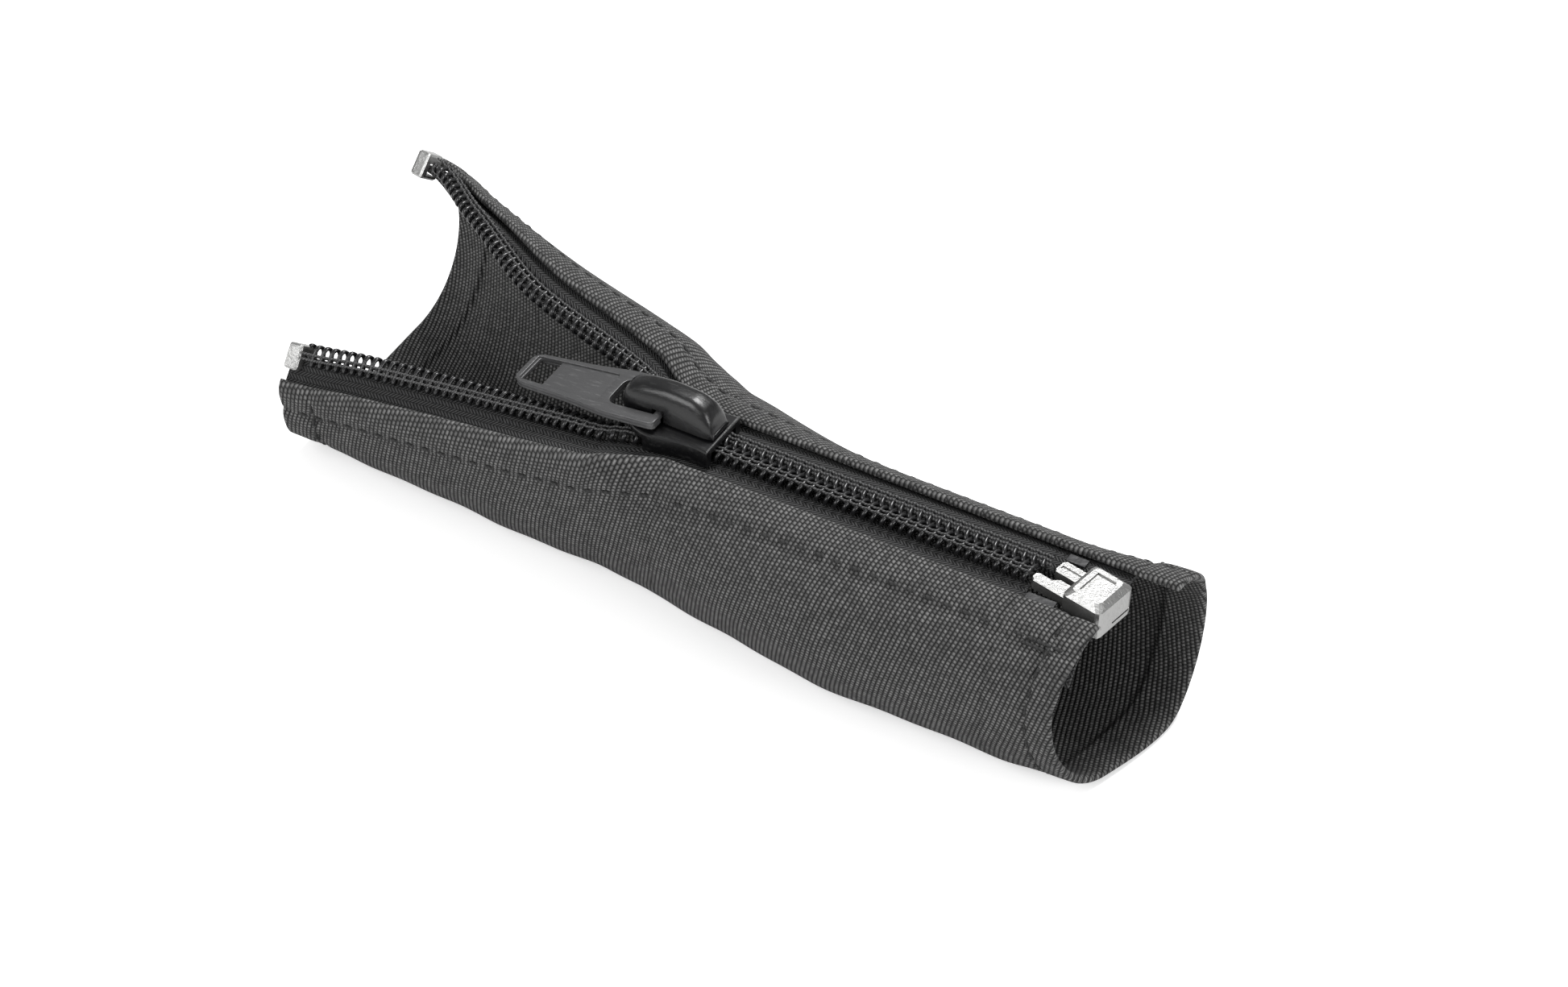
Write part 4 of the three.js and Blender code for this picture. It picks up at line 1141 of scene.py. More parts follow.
@dataclass
class ClothTube:
    """The woven tube with its folded edges, hems and seams."""

    form: SleeveForm
    follower: Follower
    cloth: bpy.types.Material
    thread: bpy.types.Material
    row_step: float = 0.8
    column_step: float = 0.8
    edge_round: float = 0.65
    stitch_pitch: float = 2.9
    stitch_length: float = 2.25
    thread_rise: float = 0.16
    thread_width: float = 0.55
    thread_height: float = 0.5
    look_above: float = 1.0
    look_ahead: float = 0.3
    end_room: float = 1.4
    groove: float = 0.5
    groove_width: float = 0.7
    near_seam: tuple[float, ...] = (-1.2, -0.8, -0.5, -0.25, 0, 0.25, 0.5, 0.8, 1.2)

    def thickness(self, x: float, from_fold: np.ndarray) -> np.ndarray:
        """Thickness of the cloth with its hems."""
        s = self.form.s
        zip_hem = 1 - smoothstep(from_fold, s.zip_hem + 0.1, s.zip_hem + 0.8)
        mouth = float(smoothstep(x, s.mouth - s.mouth_hem - 0.8, s.mouth - s.mouth_hem))
        far = 1 - float(smoothstep(x, s.far + s.far_hem, s.far + s.far_hem + 0.8))
        return s.cloth + s.hem_extra * np.maximum(zip_hem, max(mouth, far))

    def creases(self, x: float, distance: np.ndarray, from_fold: np.ndarray) -> tuple[np.ndarray, np.ndarray]:
        """How far the cloth sinks, in millimetres.

        Args:
            x: Place along the sleeve.
            distance: Distances round the section.
            from_fold: Distances from the nearer folded edge.

        Returns:
            Depths of the soft creases and of the seams.
        """
        s = self.form.s
        loose = smoothstep(from_fold, s.tape_edge - s.fold + 1, s.tape_edge - s.fold + 7)
        wave = np.sin(0.21 * x + 0.12 * distance + 1.3) + 0.7 * np.sin(0.11 * x - 0.19 * distance + 0.4)
        wave = wave + 0.5 * np.sin(0.47 * x + 0.31 * distance)
        soft = 0.16 * loose * (wave + 2.2)
        beat = 0.72 + 0.28 * np.cos(2 * math.pi * x / self.stitch_pitch)
        seam = self.groove * beat * np.exp(-(((from_fold - s.zip_hem) / self.groove_width) ** 2))
        mouth_row = np.exp(-(((x - (s.mouth - s.mouth_hem)) / self.groove_width) ** 2))
        far_row = np.exp(-(((x - (s.far + s.far_hem)) / self.groove_width) ** 2))
        beat_round = 0.72 + 0.28 * np.cos(2 * math.pi * distance / self.stitch_pitch)
        return soft, seam + self.groove * 0.8 * beat_round * (mouth_row + far_row)

    def layers(self, x: float, distance: np.ndarray) -> tuple[np.ndarray, np.ndarray]:
        """Outer and inner points of the cloth at one place.

        Args:
            x: Place along the sleeve.
            distance: Distances round the section.

        Returns:
            The two rows of points.
        """
        s = self.form.s
        from_fold = np.minimum(distance, s.girth - distance) - s.fold
        thick = self.thickness(x, from_fold)
        off_tape = smoothstep(from_fold, s.tape_edge - s.fold, s.tape_edge - s.fold + 2.5)
        top = s.lap_gap + thick + (s.cloth - thick) * off_tape
        soft, seam = self.creases(x, distance, from_fold)
        near = np.clip(from_fold / self.edge_round, 0, 1)
        rim = np.clip(min(x - s.far, s.mouth - x) / self.edge_round, 0, 1)
        full = np.sqrt(np.clip(1 - (1 - near) ** 2, 0.03, 1) * np.clip(1 - (1 - rim) ** 2, 0.03, 1))
        middle = top - thick / 2
        outer = middle + thick / 2 * full - soft - seam
        inner = middle - thick / 2 * full - soft
        shift = self.form.mouth_shift(x, distance)
        rows = [self.form.points(x, distance, lift) for lift in (outer, inner)]
        for row in rows:
            row[:, 0] += shift
        return rows[0], rows[1]

    def rows_between(self, start: float, end: float) -> np.ndarray:
        """Places of the rows of a length, close together at the rims and the seams.

        Args:
            start: Where the length begins.
            end: Where it ends.

        Returns:
            Places along the sleeve, rising.
        """
        s = self.form.s
        fine = np.array([0, 0.03, 0.12, 0.3, 0.5])
        xs = np.linspace(start, end, int((end - start) / self.row_step) + 1)
        seams = np.array(self.near_seam)
        rims = np.concatenate([s.far + fine, s.mouth - fine])
        xs = np.concatenate([xs, rims, s.far + s.far_hem + seams, s.mouth - s.mouth_hem + seams])
        return np.unique(np.round(xs[(xs >= start - 1e-6) & (xs <= end + 1e-6)], 4))

    def build(self) -> None:
        """Make the cloth in its three lengths."""
        s = self.form.s
        fine = np.array([0, 0.03, 0.12, 0.3, 0.5])
        body = np.arange(s.fold + 0.9, s.girth - s.fold - 0.9, self.column_step)
        seams = s.fold + s.zip_hem + np.array(self.near_seam)
        to_seam = np.abs(np.minimum(body, s.girth - body) - s.fold - s.zip_hem)
        body = body[to_seam > self.column_step + self.near_seam[-1] / 2]
        body = np.concatenate([body, seams, s.girth - seams])
        distance = np.unique(np.concatenate([s.fold + fine, body, s.girth - s.fold - fine]))
        for length, (start, end) in self.follower.spans().items():
            xs = self.rows_between(start, end)
            pairs = [self.layers(x, distance) for x in xs]
            outer = np.stack([pair[0] for pair in pairs])
            inner = np.stack([pair[1] for pair in pairs])
            points, quads = shell(outer, inner)
            ends = 2 * (len(distance) - 1)
            drawn = np.stack([x + self.form.mouth_shift(x, distance) for x in xs])
            grid = np.stack([drawn, np.broadcast_to(distance, drawn.shape)], -1).reshape(-1, 2)
            place = np.tile(grid, (2, 1))
            piece = write_mesh("cloth_" + length.value, points, quads, place, self.cloth, ends)
            (end - start) * MM
            self.follower.attach(piece, length, "cloth", "fabric_sleeve")

    def sewn(
        self,
        name: str,
        length: Length,
        path: np.ndarray,
        ahead: np.ndarray,
        up: np.ndarray,
        size: float = 1.0,
    ) -> None:
        """Make one run of stitches.

        Args:
            name: The piece's name.
            length: Which length of the sleeve it is on.
            path: The stitches' middles.
            ahead: Points a little further along each stitch.
            up: Points above them.
            size: Share of a stitch's full length.
        """
        along = ahead - path
        along /= np.linalg.norm(along, axis=1, keepdims=True)
        rise = up - path
        rise /= np.linalg.norm(rise, axis=1, keepdims=True)
        parts = stitches(path, along, rise, self.stitch_length * size, self.thread_width, self.thread_height)
        self.follower.attach(write_mesh(name, *parts, self.thread), length, "cloth")

    def on_cloth(self, x: float, distance: np.ndarray, lift: float) -> np.ndarray:
        """Points above the cloth's outer face, with the rim's shift."""
        outer, inner = self.layers(x, distance)
        away = outer - inner
        return outer + away / np.linalg.norm(away, axis=1, keepdims=True) * lift

    def sew_along(self) -> None:
        """Sew the two seams that hold the cloth to the tapes."""
        s = self.form.s
        for side in Side:
            seam = s.fold + s.zip_hem
            at = np.array([seam if side is Side.FRONT else s.girth - seam])
            for length, (start, end) in self.follower.spans().items():
                first = math.ceil((start + self.end_room) / self.stitch_pitch)
                last = math.floor((min(end, s.mouth - 1) - self.end_room) / self.stitch_pitch)
                xs = [k * self.stitch_pitch for k in range(first, last + 1)]
                path = np.concatenate([self.on_cloth(x, at, self.thread_rise) for x in xs])
                ahead = np.concatenate([self.on_cloth(x + self.look_ahead, at, self.thread_rise) for x in xs])
                up = np.concatenate([self.on_cloth(x, at, self.look_above) for x in xs])
                self.sewn(f"seam_{side.name.lower()}_{length.value}", length, path, ahead, up)

    def sew_round(self) -> None:
        """Sew the hems at the mouth and at the far end, and the tack beside the box."""
        s = self.form.s
        runs = [
            ("hem_stitch_mouth", Length.MOUTH, s.mouth - s.mouth_hem),
            ("hem_stitch_far", Length.PARTED, s.far + s.far_hem),
        ]
        for name, length, x in runs:
            count = int((s.girth - 2 * s.fold - 3) / self.stitch_pitch)
            first = math.ceil((s.fold + 1.5) / self.stitch_pitch)
            at = (first + np.arange(count)) * self.stitch_pitch
            path = self.on_cloth(x, at, self.thread_rise)
            ahead = self.on_cloth(x, at + self.look_ahead, self.thread_rise)
            up = self.on_cloth(x, at, self.look_above)
            self.sewn(name, length, path, ahead, up)
        at = np.array([s.fold + s.zip_hem + 0.75])
        xs = s.mouth - s.mouth_hem - self.stitch_pitch * np.arange(4) * 0.8
        path = np.concatenate([self.on_cloth(x, at, self.thread_rise) for x in xs])
        ahead = np.concatenate([self.on_cloth(x + self.look_ahead, at, self.thread_rise) for x in xs])
        up = np.concatenate([self.on_cloth(x, at, self.look_above) for x in xs])
        self.sewn("corner_tack", Length.MOUTH, path, ahead, up, 0.9)


@dataclass
class ZipTape:
    """One row's woven tape."""

    form: SleeveForm
    follower: Follower
    finish: bpy.types.Material
    side: Side
    row_step: float = 0.7

    def inset(self, x: float) -> float:
        """Distance from the head line to the tape's inner edge.

        Args:
            x: Place along the sleeve.

        Returns:
            The distance, which grows beside the pins and the box.
        """
        s = self.form.s
        if x <= self.form.chain_end(self.side) - s.seat:
            return s.tape_inset
        if x <= s.box - s.notch_run:
            return s.pin_inset
        pivot = s.box - s.pin_length / 2
        turned = (x - pivot) * math.sin(math.radians(s.box_turn)) if self.side is Side.FRONT else 0.0
        return s.box_width / 2 + s.seat + turned

    def rows_between(self, start: float, end: float) -> np.ndarray:
        """Places of the rows of a length, with the notch's corners.

        Args:
            start: Where the length begins.
            end: Where it ends.

        Returns:
            Places along the sleeve, rising.
        """
        s = self.form.s
        corner = self.form.chain_end(self.side) - s.seat
        xs = np.linspace(start, end, int((end - start) / self.row_step) + 1)
        corners = np.array([corner, corner + 0.3, s.box - s.notch_run, s.box - s.notch_run / 2])
        xs = np.concatenate([xs, corners[(corners > start) & (corners < end)]])
        return np.unique(np.round(xs, 4))

    def build(self) -> None:
        """Make the tape in its three lengths."""
        s = self.form.s
        name = self.side.name.lower()
        spans = self.follower.spans()
        spans[Length.PARTED] = (s.far + s.seat, s.junction)
        spans[Length.MOUTH] = (s.chain_end, s.box + 0.8 * s.box_length)
        for length, (start, end) in spans.items():
            xs = self.rows_between(start, end)
            outer, inner, places = [], [], []
            for x in xs:
                across = np.linspace(self.inset(x), s.tape_edge, 26)
                at = across if self.side is Side.FRONT else s.girth - across
                outer.append(self.form.points(x, at, np.zeros(len(at))))
                inner.append(self.form.points(x, at, np.full(len(at), -s.tape)))
                places.append(np.column_stack([np.full(len(at), x), across]))
            points, quads = shell(np.stack(outer), np.stack(inner))
            place = np.tile(np.concatenate(places), (2, 1))
            ends = 2 * (len(across) - 1)
            piece = write_mesh(f"tape_{name}_{length.value}", points, quads, place, self.finish, ends)
            (end - start) * MM
            self.follower.attach(piece, length, "tape", "zipper_tape_" + name)


@dataclass
class CoilRow:
    """One row of the chain: its coil, the cord inside it and the thread that sews it down."""

    form: SleeveForm
    follower: Follower
    nylon: bpy.types.Material
    cord: bpy.types.Material
    thread: bpy.types.Material
    side: Side
    steps: int = 22
    sides: int = 8
    squareness: float = 0.7

    def wire(self, line: HeadLine) -> Run:
        """The coil's middle line with its cross axes.

        Args:
            line: The row's head line.

        Returns:
            Centres, beside, outward and half widths.
        """
        s = self.form.s
        start = 0.3 if self.side is Side.FRONT else 0.3 + s.pitch / 2
        turns = math.floor((line.length - start) / s.pitch)
        distance = start + np.arange(turns * self.steps + 1) * s.pitch / self.steps
        angle = 2 * math.pi * ((distance - start) / s.pitch + 1 / 12)
        squared = lambda value: np.sign(value) * np.abs(value) ** self.squareness
        across = s.coil_centre - (s.coil_width - 0.6) / 2 * squared(np.cos(angle))
        rise = s.coil_middle + (s.coil_height - 0.6) / 2 * squared(np.sin(angle))
        origin, along, away, up = line.frames(distance)
        centres = origin + away * across[:, None] + up * rise[:, None]
        run = np.gradient(centres, axis=0)
        run /= np.linalg.norm(run, axis=1, keepdims=True)
        beside = along - run * (along * run).sum(1, keepdims=True)
        beside /= np.linalg.norm(beside, axis=1, keepdims=True)
        outward = np.cross(run, beside)
        head = smoothstep(np.cos(angle), 0.55, 1.0)
        half = s.wire / 2
        radii = np.column_stack([half * (1 + 0.28 * head), half * (1 - 0.08 * head)])
        return centres, beside, outward, radii

    def line_of(
        self,
        line: HeadLine,
        across: float,
        rise: Callable[[np.ndarray], np.ndarray],
        step: float,
        radius: float,
    ) -> Run:
        """A thread or cord that runs along the row.

        Args:
            line: The row's head line.
            across: Its distance from the head line.
            rise: Its height at each distance.
            step: Distance between its points.
            radius: Its half width.

        Returns:
            Centres, beside, outward and half widths.
        """
        distance = np.arange(self.form.s.seat, line.length, step)
        origin, _, away, up = line.frames(distance)
        centres = origin + away * across + up * rise(distance)[:, None]
        return centres, away, up, np.full((len(distance), 2), radius)

    def split(
        self, name: str, slot: str, finish: bpy.types.Material, parts: Run, sides: int, *nodes: str
    ) -> None:
        """Make a run in its parted and zipped lengths.

        Args:
            name: The pieces' first name.
            slot: Not used.
            finish: The material.
            parts: Centres, beside, outward and half widths.
            sides: Faces round it.
            nodes: The solids that they replace.
        """
        joint = self.form.s.junction
        at = int(np.argmin(np.abs(parts[0][:, 0] - joint)))
        spans = {Length.ZIPPED: slice(0, at + 1), Length.PARTED: slice(at, None)}
        for length, span in spans.items():
            made = tube(*(part[span] for part in parts), sides)
            piece = write_mesh(f"{name}_{length.value}", *made, finish)
            self.follower.attach(piece, length, slot, *nodes)

    def build(self) -> None:
        """Make the row."""
        s = self.form.s
        name = self.side.name.lower()
        line = HeadLine(self.form, self.side)
        self.split("coil_" + name, "coil", self.nylon, self.wire(line), self.sides, "coil_" + name)
        level = lambda distance: np.full(len(distance), s.coil_middle)
        core = self.line_of(line, s.coil_centre, level, 0.9, s.core / 2)
        self.split("core_" + name, "core", self.cord, core, 10, "core_cord_" + name)
        phase = 0.3 if self.side is Side.FRONT else 0.3 + s.pitch / 2
        turn = lambda d: 2 * math.pi * ((d - phase) / s.pitch - 0.25 + 1 / 12)
        over = lambda d: s.coil_top - 0.04 + 0.08 * np.cos(turn(d))
        for number, across in enumerate((s.coil_centre - 0.05, s.coil_centre + 0.75)):
            row = self.line_of(line, across, over, s.pitch / 12, 0.17)
            self.split(f"coil_thread_{name}_{number}", "core", self.thread, row, 8)


class Outline:
    """A closed flat outline, drawn with lines and curves, in millimetres."""

    STEPS = 14

    def __init__(self, x: float, y: float) -> None:
        """Start the outline at a point."""
        self.points = [np.array([x, y], float)]

    def line(self, x: float, y: float) -> "Outline":
        """Draw a straight line."""
        self.points.append(np.array([x, y], float))
        return self

    def curve(self, *numbers: float) -> "Outline":
        """Draw a quadratic or cubic curve through its control points, given as x and y in turn."""
        grid = [self.points[-1], *np.array(numbers, float).reshape(-1, 2)]
        order = len(grid) - 1
        for t in np.linspace(0, 1, self.STEPS + 1)[1:]:
            weights = [math.comb(order, k) * t**k * (1 - t) ** (order - k) for k in range(order + 1)]
            self.points.append(sum(weight * point for weight, point in zip(weights, grid)))
        return self


def plate(outlines: Sequence[Outline], low: float, high: float, edge: float) -> bpy.types.Mesh:
    """A plate with rounded edges; every outline after the first is a hole.

    Args:
        outlines: The rim and the holes.
        low: Level of its underside.
        high: Level of its top.
        edge: Radius of its edges.

    Returns:
        A closed mesh, in metres.
    """
    data = bpy.data.curves.new("plate", "CURVE")
    data.dimensions = "2D"
    data.fill_mode = "BOTH"
    data.extrude = ((high - low) / 2 - edge) * MM
    data.bevel_depth = edge * MM
    data.bevel_resolution = 3
    data.offset = -edge * MM
    for outline in outlines:
        spline = data.splines.new("POLY")
        spline.points.add(len(outline.points) - 1)
        for corner, (x, y) in zip(spline.points, outline.points):
            corner.co = (x * MM, y * MM, 0, 1)
        spline.use_cyclic_u = True
    holder = bpy.data.objects.new("plate", data)
    mesh = bpy.data.meshes.new_from_object(holder)
    bpy.data.objects.remove(holder)
    mesh.transform(Matrix.Translation((0, 0, (low + high) / 2 * MM)))
    return mesh


def joined(
    name: str, meshes: Sequence[bpy.types.Mesh], finish: bpy.types.Material, sharp: float
) -> bpy.types.Object:
    """One object of several meshes, smooth where its faces meet at a small angle.

    Args:
        name: The piece's name.
        meshes: What it is made of.
        finish: The material.
        sharp: Angle from which an edge stays sharp, in degrees.

    Returns:
        The object, linked to the scene.
    """
    work = bmesh.new()
    for mesh in meshes:
        work.from_mesh(mesh)
        bpy.data.meshes.remove(mesh)
    bmesh.ops.remove_doubles(work, verts=work.verts, dist=1e-7)
    bmesh.ops.recalc_face_normals(work, faces=work.faces)
    for face in work.faces:
        face.smooth = True
        face.material_index = 0
    made = bpy.data.meshes.new(name)
    work.to_mesh(made)
    work.free()
    made.set_sharp_from_angle(angle=math.radians(sharp))
    made.materials.clear()
    made.materials.append(finish)
    piece = bpy.data.objects.new(name, made)
    bpy.context.scene.collection.objects.link(piece)
    return piece


def modified(piece: bpy.types.Object) -> None:
    """Apply a piece's modifiers to its mesh."""
    depsgraph = bpy.context.evaluated_depsgraph_get()
    made = bpy.data.meshes.new_from_object(piece.evaluated_get(depsgraph))
    piece.modifiers.clear()
    piece.data = made


@dataclass
class Slider:
    """The slider's hooded cover and its tab, with the round forms that cast metal has."""

    s: Sizes
    black: bpy.types.Material
    grey: bpy.types.Material
    plate_top: float = 3.55
    cover_length: float = 15.4
    cover_width: float = 5.0
    cover_height: float = 5.6
    cover_back: float = -0.4
    wall: float = 0.7
    hinge_back: float = 9.5
    hinge_rise: float = 1.25
    hinge_pin: float = 1.3
    tab_length: float = 24.3
    tab_tip: float = 7.0
    tab_base: float = 10.2
    tab_thick: float = 1.3
    tab_droop: float = 7.5
    tab_rim: float = 0.75
    tab_recess: float = 0.3
    window_length: float = 8.35
    window_width: float = 5.95
    tip_hole: float = 3.6
    along: tuple[float, ...] = (0, 0.05, 0.13, 0.28, 0.5, 0.75, 0.9, 0.97, 1)
    heights: tuple[float, ...] = (0.2, 0.55, 0.82, 0.97, 1, 0.92, 0.8, 0.66, 0.5)
    widths: tuple[float, ...] = (0.86, 0.95, 1, 1, 1, 1, 0.94, 0.82, 0.66)

    def hood(self, wall: float, foot: float, rings: int = 64, around: int = 40) -> bpy.types.Mesh:
        """The cover's outside, or the room inside it.

        Args:
            wall: How far inside the outer face it lies.
            foot: Level of its foot.
            rings: Rings along it.
            around: Points of a ring.

        Returns:
            A closed mesh, in metres, from the slider's closed end.
        """
        share = 0.5 - 0.5 * np.cos(np.linspace(0, math.pi, rings))
        half = self.cover_width / 2 * smooth_through(self.along, self.widths, share) - wall
        top = self.plate_top + self.cover_height * smooth_through(self.along, self.heights, share) - wall
        x = self.cover_back - wall - share * (self.cover_length - 2 * wall)
        angle = np.linspace(0, math.pi, around)
        bulge = np.sign(np.cos(angle)) * np.abs(np.cos(angle)) ** 0.62
        rise = np.sin(angle) ** 0.62
        y = half[:, None] * bulge
        z = foot + (top[:, None] - foot) * rise
        points = np.stack([np.broadcast_to(x[:, None], y.shape), y, z], -1).reshape(-1, 3) * MM
        mesh = bpy.data.meshes.new("hood")
        faces = grid_quads(rings, around, 0, True).tolist()
        faces += [list(range(around)), list(range((rings - 1) * around, rings * around))[::-1]]
        mesh.from_pydata(points.tolist(), [], faces)
        return mesh

    def block(self, low: Sequence[float], high: Sequence[float]) -> bpy.types.Mesh:
        """A plain cutting block between two corners."""
        ends = (low, high)
        corners = [[ends[i][0], ends[j][1], ends[k][2]] for i, j, k in np.ndindex(2, 2, 2)]
        mesh = bpy.data.meshes.new("block")
        faces = [(0, 1, 3, 2), (4, 6, 7, 5), (0, 4, 5, 1), (2, 3, 7, 6), (0, 2, 6, 4), (1, 5, 7, 3)]
        mesh.from_pydata((np.array(corners) * MM).tolist(), [], faces)
        return mesh

    def cover(self) -> bpy.types.Object:
        """Make the hollow cover with its slot for the tab's pin."""
        s = self.s
        reach = self.hinge_pin / 2 + s.seat
        piece = joined("cover", [self.hood(0, self.plate_top + s.seat)], self.black, 50)
        slot_low = (-self.hinge_back - reach, -self.cover_width, self.plate_top - 1)
        slot_high = (-self.hinge_back + reach, self.cover_width, self.plate_top + self.hinge_rise + reach)
        cutters = [self.hood(self.wall, self.plate_top - 1), self.block(slot_low, slot_high)]
        for number, mesh in enumerate(cutters):
            cutter = joined(f"cutter_{number}", [mesh], self.black, 50)
            cut = piece.modifiers.new("cut", "BOOLEAN")
            cut.object = cutter
            cut.operation = "DIFFERENCE"
            cut.solver = "EXACT"
        modified(piece)
        for number in range(len(cutters)):
            bpy.data.objects.remove(bpy.data.objects[f"cutter_{number}"])
        piece.data.set_sharp_from_angle(angle=math.radians(50))
        piece.data.transform(Matrix.Translation((self.s.exit * MM, 0, self.s.zip_height * MM)))
        return piece

    def tab_outline(self) -> Outline:
        """The tab's rim, from its pin at x = 0 round its tip and back round the opening for the cover."""
        tip, base, pin = self.tab_tip / 2, self.tab_base / 2, self.hinge_pin / 2
        end, arm, waist = -self.tab_length, -0.75 * self.window_length, -0.62 * self.tab_length
        half, long, turn = self.window_width / 2, -self.window_length, 1.6
        rim = Outline(pin + 0.1, half).line(pin + 0.1, base - 0.6)
        rim.curve(pin, base, -0.6, base).line(arm, base)
        rim.curve(arm - 3, base, arm - 4, tip + 1.1, waist, tip + 0.55).line(end + 2, tip)
        rim.curve(end + 0.3, tip - 0.1, end, tip - 1.5).line(end, 1.5 - tip)
        rim.curve(end + 0.3, 0.1 - tip, end + 2, -tip).line(waist, -tip - 0.55)
        rim.curve(arm - 4, -tip - 1.1, arm - 3, -base, arm, -base).line(-0.6, -base)
        rim.curve(pin, -base, pin + 0.1, 0.6 - base).line(pin + 0.1, -half).line(long + turn, -half)
        rim.curve(long, -half, long, turn - half).line(long, half - turn)
        return rim.curve(long, half, long + turn, half)

    def panel_outline(self, start: float, end: float) -> Outline:
        """The panel, or the hole at the tip.

        Args:
            start: The end towards the tip.
            end: The end towards the pin.

        Returns:
            Its outline, a little wider towards the pin.
        """
        half = lambda x: self.tab_tip / 2 - self.tab_rim + (x + self.tab_length) * 0.045
        turn = 0.4
        panel = Outline(start, turn - half(start)).curve(start, -half(start), start + turn, -half(start))
        panel.line(end - turn, -half(end)).curve(end, -half(end), end, turn - half(end))
        panel.line(end, half(end) - turn).curve(end, half(end), end - turn, half(end))
        return panel.line(start + turn, half(start)).curve(start, half(start), start, half(start) - turn)

    def tab(self) -> bpy.types.Object:
        """Make the tab with its rim, its blank panel and its two openings."""
        half = self.tab_thick / 2
        start = -self.tab_length + 1.1
        hole = self.panel_outline(start, start + self.tip_hole)
        panel = self.panel_outline(start - 0.3, -self.window_length - 1.5)
        web = half - self.tab_recess
        parts = [
            plate([self.tab_outline(), hole], -web, web, 0.12),
            plate([self.tab_outline(), panel], web - 0.12, half, 0.13),
            plate([self.tab_outline(), panel], -half, 0.12 - web, 0.13),
        ]
        turn = np.arange(24) / 24 * 2 * math.pi
        radius = self.hinge_pin / 2
        reach = self.window_width / 2 + 0.6
        ring = np.stack([np.cos(turn) * radius, np.sin(turn) * radius], -1)
        points = [(x * MM, y * MM, z * MM) for y in (-reach, reach) for x, z in ring]
        pin = bpy.data.meshes.new("pin")
        sides = grid_quads(2, 24, 0, True).tolist()
        pin.from_pydata(points, [], [*sides, list(range(24)), list(range(24, 48))])
        piece = joined("tab", [*parts, pin], self.grey, 28)
        high = self.s.zip_height + self.plate_top + self.hinge_rise
        hinge = Matrix.Translation(((self.s.exit - self.hinge_back) * MM, 0, high * MM))
        piece.data.transform(hinge @ Matrix.Rotation(math.radians(-self.tab_droop), 4, "Y"))
        return piece

    def build(self) -> None:
        """Make both and say what they ride on."""
        for piece, body, node, slot in (
            (self.cover(), "slider", "slider_cover", "black_metal"),
            (self.tab(), "pull_tab", "pull_tab", "tab"),
        ):
            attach(piece, body)
            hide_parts(node)
            LOG.info("%s: %d vertices", piece.name, len(piece.data.vertices))


@dataclass
class Hardware:
    """The solids that keep their shapes: slider body, spring, box, pins, stops and films."""

    finishes: dict[str, bpy.types.Material]
    kept: dict[str, str] = field(
        default_factory=lambda: {
            "slider_body": "black",
            "lock_spring": "steel",
            "retainer_box": "silver",
            "retainer_pin": "silver",
            "insertion_pin": "silver",
            "top_stop_front": "silver",
            "top_stop_rear": "silver",
            "end_film_front": "film",
            "end_film_rear": "film",
        }
    )

    def dress(self, nodes: dict[str, bpy.types.Object]) -> None:
        """Give each solid its finish.

        Args:
            nodes: The frame's nodes by name.
        """
        for name, finish in self.kept.items():
            piece = nodes[name]
            for slot in piece.material_slots:
                slot.material = self.finishes[finish]
            LOG.info("%s is %s", name, finish)


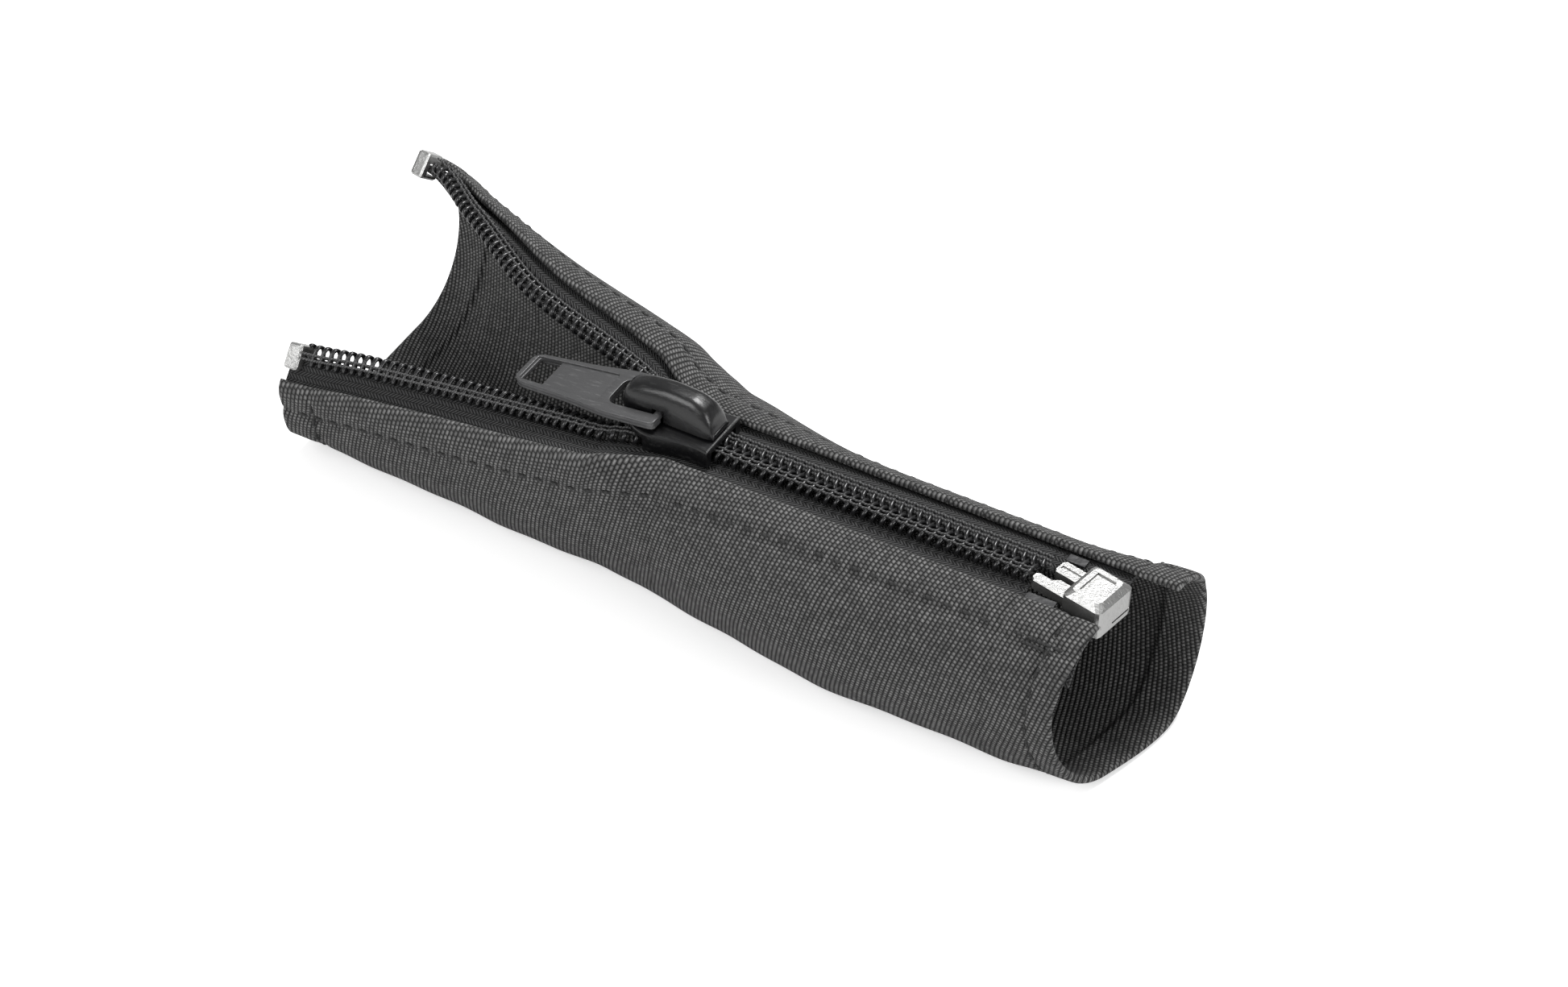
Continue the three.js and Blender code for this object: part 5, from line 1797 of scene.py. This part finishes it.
@dataclass
class Studio:
    """A white floor, soft light and the camera."""

    aim: tuple[float, float, float] = (1.25, 0.0, 27.0)
    azimuth: float = 30.5
    elevation: float = 41.0
    distance: float = 640.0
    scale: float = 8.66
    picture: tuple[int, int] = (1946, 1225)
    aim_pixel: tuple[float, float] = (898.0, 563.0)
    sensor: float = 36.0

    def axes(self) -> tuple[Vector, Vector, Vector]:
        """The picture's right, up and backward directions."""
        az, el = math.radians(self.azimuth), math.radians(self.elevation)
        right = Vector((math.cos(az), math.sin(az), 0))
        back = Vector((math.sin(az) * math.cos(el), -math.cos(az) * math.cos(el), math.sin(el)))
        return right, back.cross(right), back

    def camera(self) -> None:
        """Place the camera so that the slider's end falls on its pixel."""
        right, up, back = self.axes()
        data = bpy.data.cameras.new("camera")
        data.sensor_width = self.sensor
        data.lens = self.scale * self.distance / self.picture[0] * self.sensor
        data.shift_x = (self.picture[0] / 2 - self.aim_pixel[0]) / self.picture[0]
        data.shift_y = (self.aim_pixel[1] - self.picture[1] / 2) / self.picture[0]
        data.clip_start = 0.01
        camera = bpy.data.objects.new("camera", data)
        place = (Vector(self.aim) + back * self.distance) * MM
        turn = Matrix((right, up, back)).transposed().to_4x4()
        camera.matrix_world = Matrix.Translation(place) @ turn
        bpy.context.scene.collection.objects.link(camera)
        bpy.context.scene.camera = camera

    def floor(self) -> None:
        """Lay a floor that reads as white and keeps the sleeve's shadow."""
        g = Graph("white_floor")
        paths = g.node("ShaderNodeLightPath")
        seen = Shade(g, paths.outputs["Is Camera Ray"]) + Shade(g, paths.outputs["Is Transmission Ray"])
        seen = seen.clamped()
        diffuse = g.node("ShaderNodeBsdfDiffuse", None, {"Color": (0.82, 0.82, 0.82, 1.0)})
        glow = g.node("ShaderNodeEmission", None, {"Color": (1, 1, 1, 1), "Strength": seen * 0.5})
        both = g.node("ShaderNodeAddShader", None, {0: diffuse.outputs[0], 1: glow.outputs[0]})
        g.node("ShaderNodeOutputMaterial", None, {"Surface": both.outputs[0]})
        size = 6000.0
        corners = np.array([[-1, -1, 0], [1, -1, 0], [1, 1, 0], [-1, 1, 0]]) * size
        floor = write_mesh("floor", corners, np.array([[0, 1, 2, 3]]), corners[:, :2], g.material)

    def lamp(self, name: str, place: Sequence[float], size: float, power: float) -> None:
        """Hang a soft lamp that faces the sleeve.

        Args:
            name: Its name.
            place: Where it hangs, in metres.
            size: Its side, in metres.
            power: Its power, in watts.
        """
        data = bpy.data.lights.new(name, "AREA")
        data.size = size
        data.energy = power
        lamp = bpy.data.objects.new(name, data)
        lamp.location = place
        lamp.rotation_euler = (-Vector(place)).to_track_quat("-Z", "Y").to_euler()
        bpy.context.scene.collection.objects.link(lamp)

    def light(self) -> None:
        """Light the sleeve from above and behind, with a fill from the front."""
        world = bpy.data.worlds.new("studio")
        world.use_nodes = True
        tree = world.node_tree
        tree.nodes["Background"].inputs["Color"].default_value = (1, 1, 1, 1)
        tree.nodes["Background"].inputs["Strength"].default_value = 0.3
        bpy.context.scene.world = world
        self.lamp("top_lamp", (0.05, 0.35, 0.75), 0.32, 7.0)
        self.lamp("front_lamp", (-0.25, -0.6, 0.55), 0.5, 4.0)
        self.lamp("end_lamp", (0.7, -0.15, 0.35), 0.3, 2.0)

    def build(self) -> None:
        """Set the whole studio."""
        self.camera()
        self.floor()
        self.light()
        view = bpy.context.scene.view_settings
        view.view_transform = "Standard"


def main() -> None:
    """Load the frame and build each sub-assembly."""
    logging.basicConfig(level=logging.INFO, format="%(name)s %(message)s")
    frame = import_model()
    sizes = Sizes()
    form = SleeveForm(sizes)
    follower = Follower(sizes)
    Studio().build()
    cloth = RibbedCloth().material()
    # The seam thread is near-black: painted shade of the sunken stitch line, laid on the thread's own colour.
    shaded_seam_thread = TwistedThread("shaded_seam_thread", (0.001, 0.001, 0.001), (0.018, 0.018, 0.018)).material()
    coil_thread = TwistedThread("coil_thread", (0.005, 0.005, 0.005), (0.085, 0.085, 0.086), 0.5).material()
    tube_of_cloth = ClothTube(form, follower, cloth, shaded_seam_thread)
    tube_of_cloth.build()
    tube_of_cloth.sew_along()
    tube_of_cloth.sew_round()
    tape = HerringboneTape().material()
    nylon = CoilNylon().material()
    for side in Side:
        ZipTape(form, follower, tape, side).build()
        CoilRow(form, follower, nylon, coil_thread, coil_thread, side).build()
    built = {name: finish.material() for name, finish in METALS.items()}
    built["film"] = FusedFilm().material()
    Slider(sizes, built["black"], built["tab"]).build()
    Hardware(built).dress(frame["nodes"])


if __name__ == "__main__":
    main()
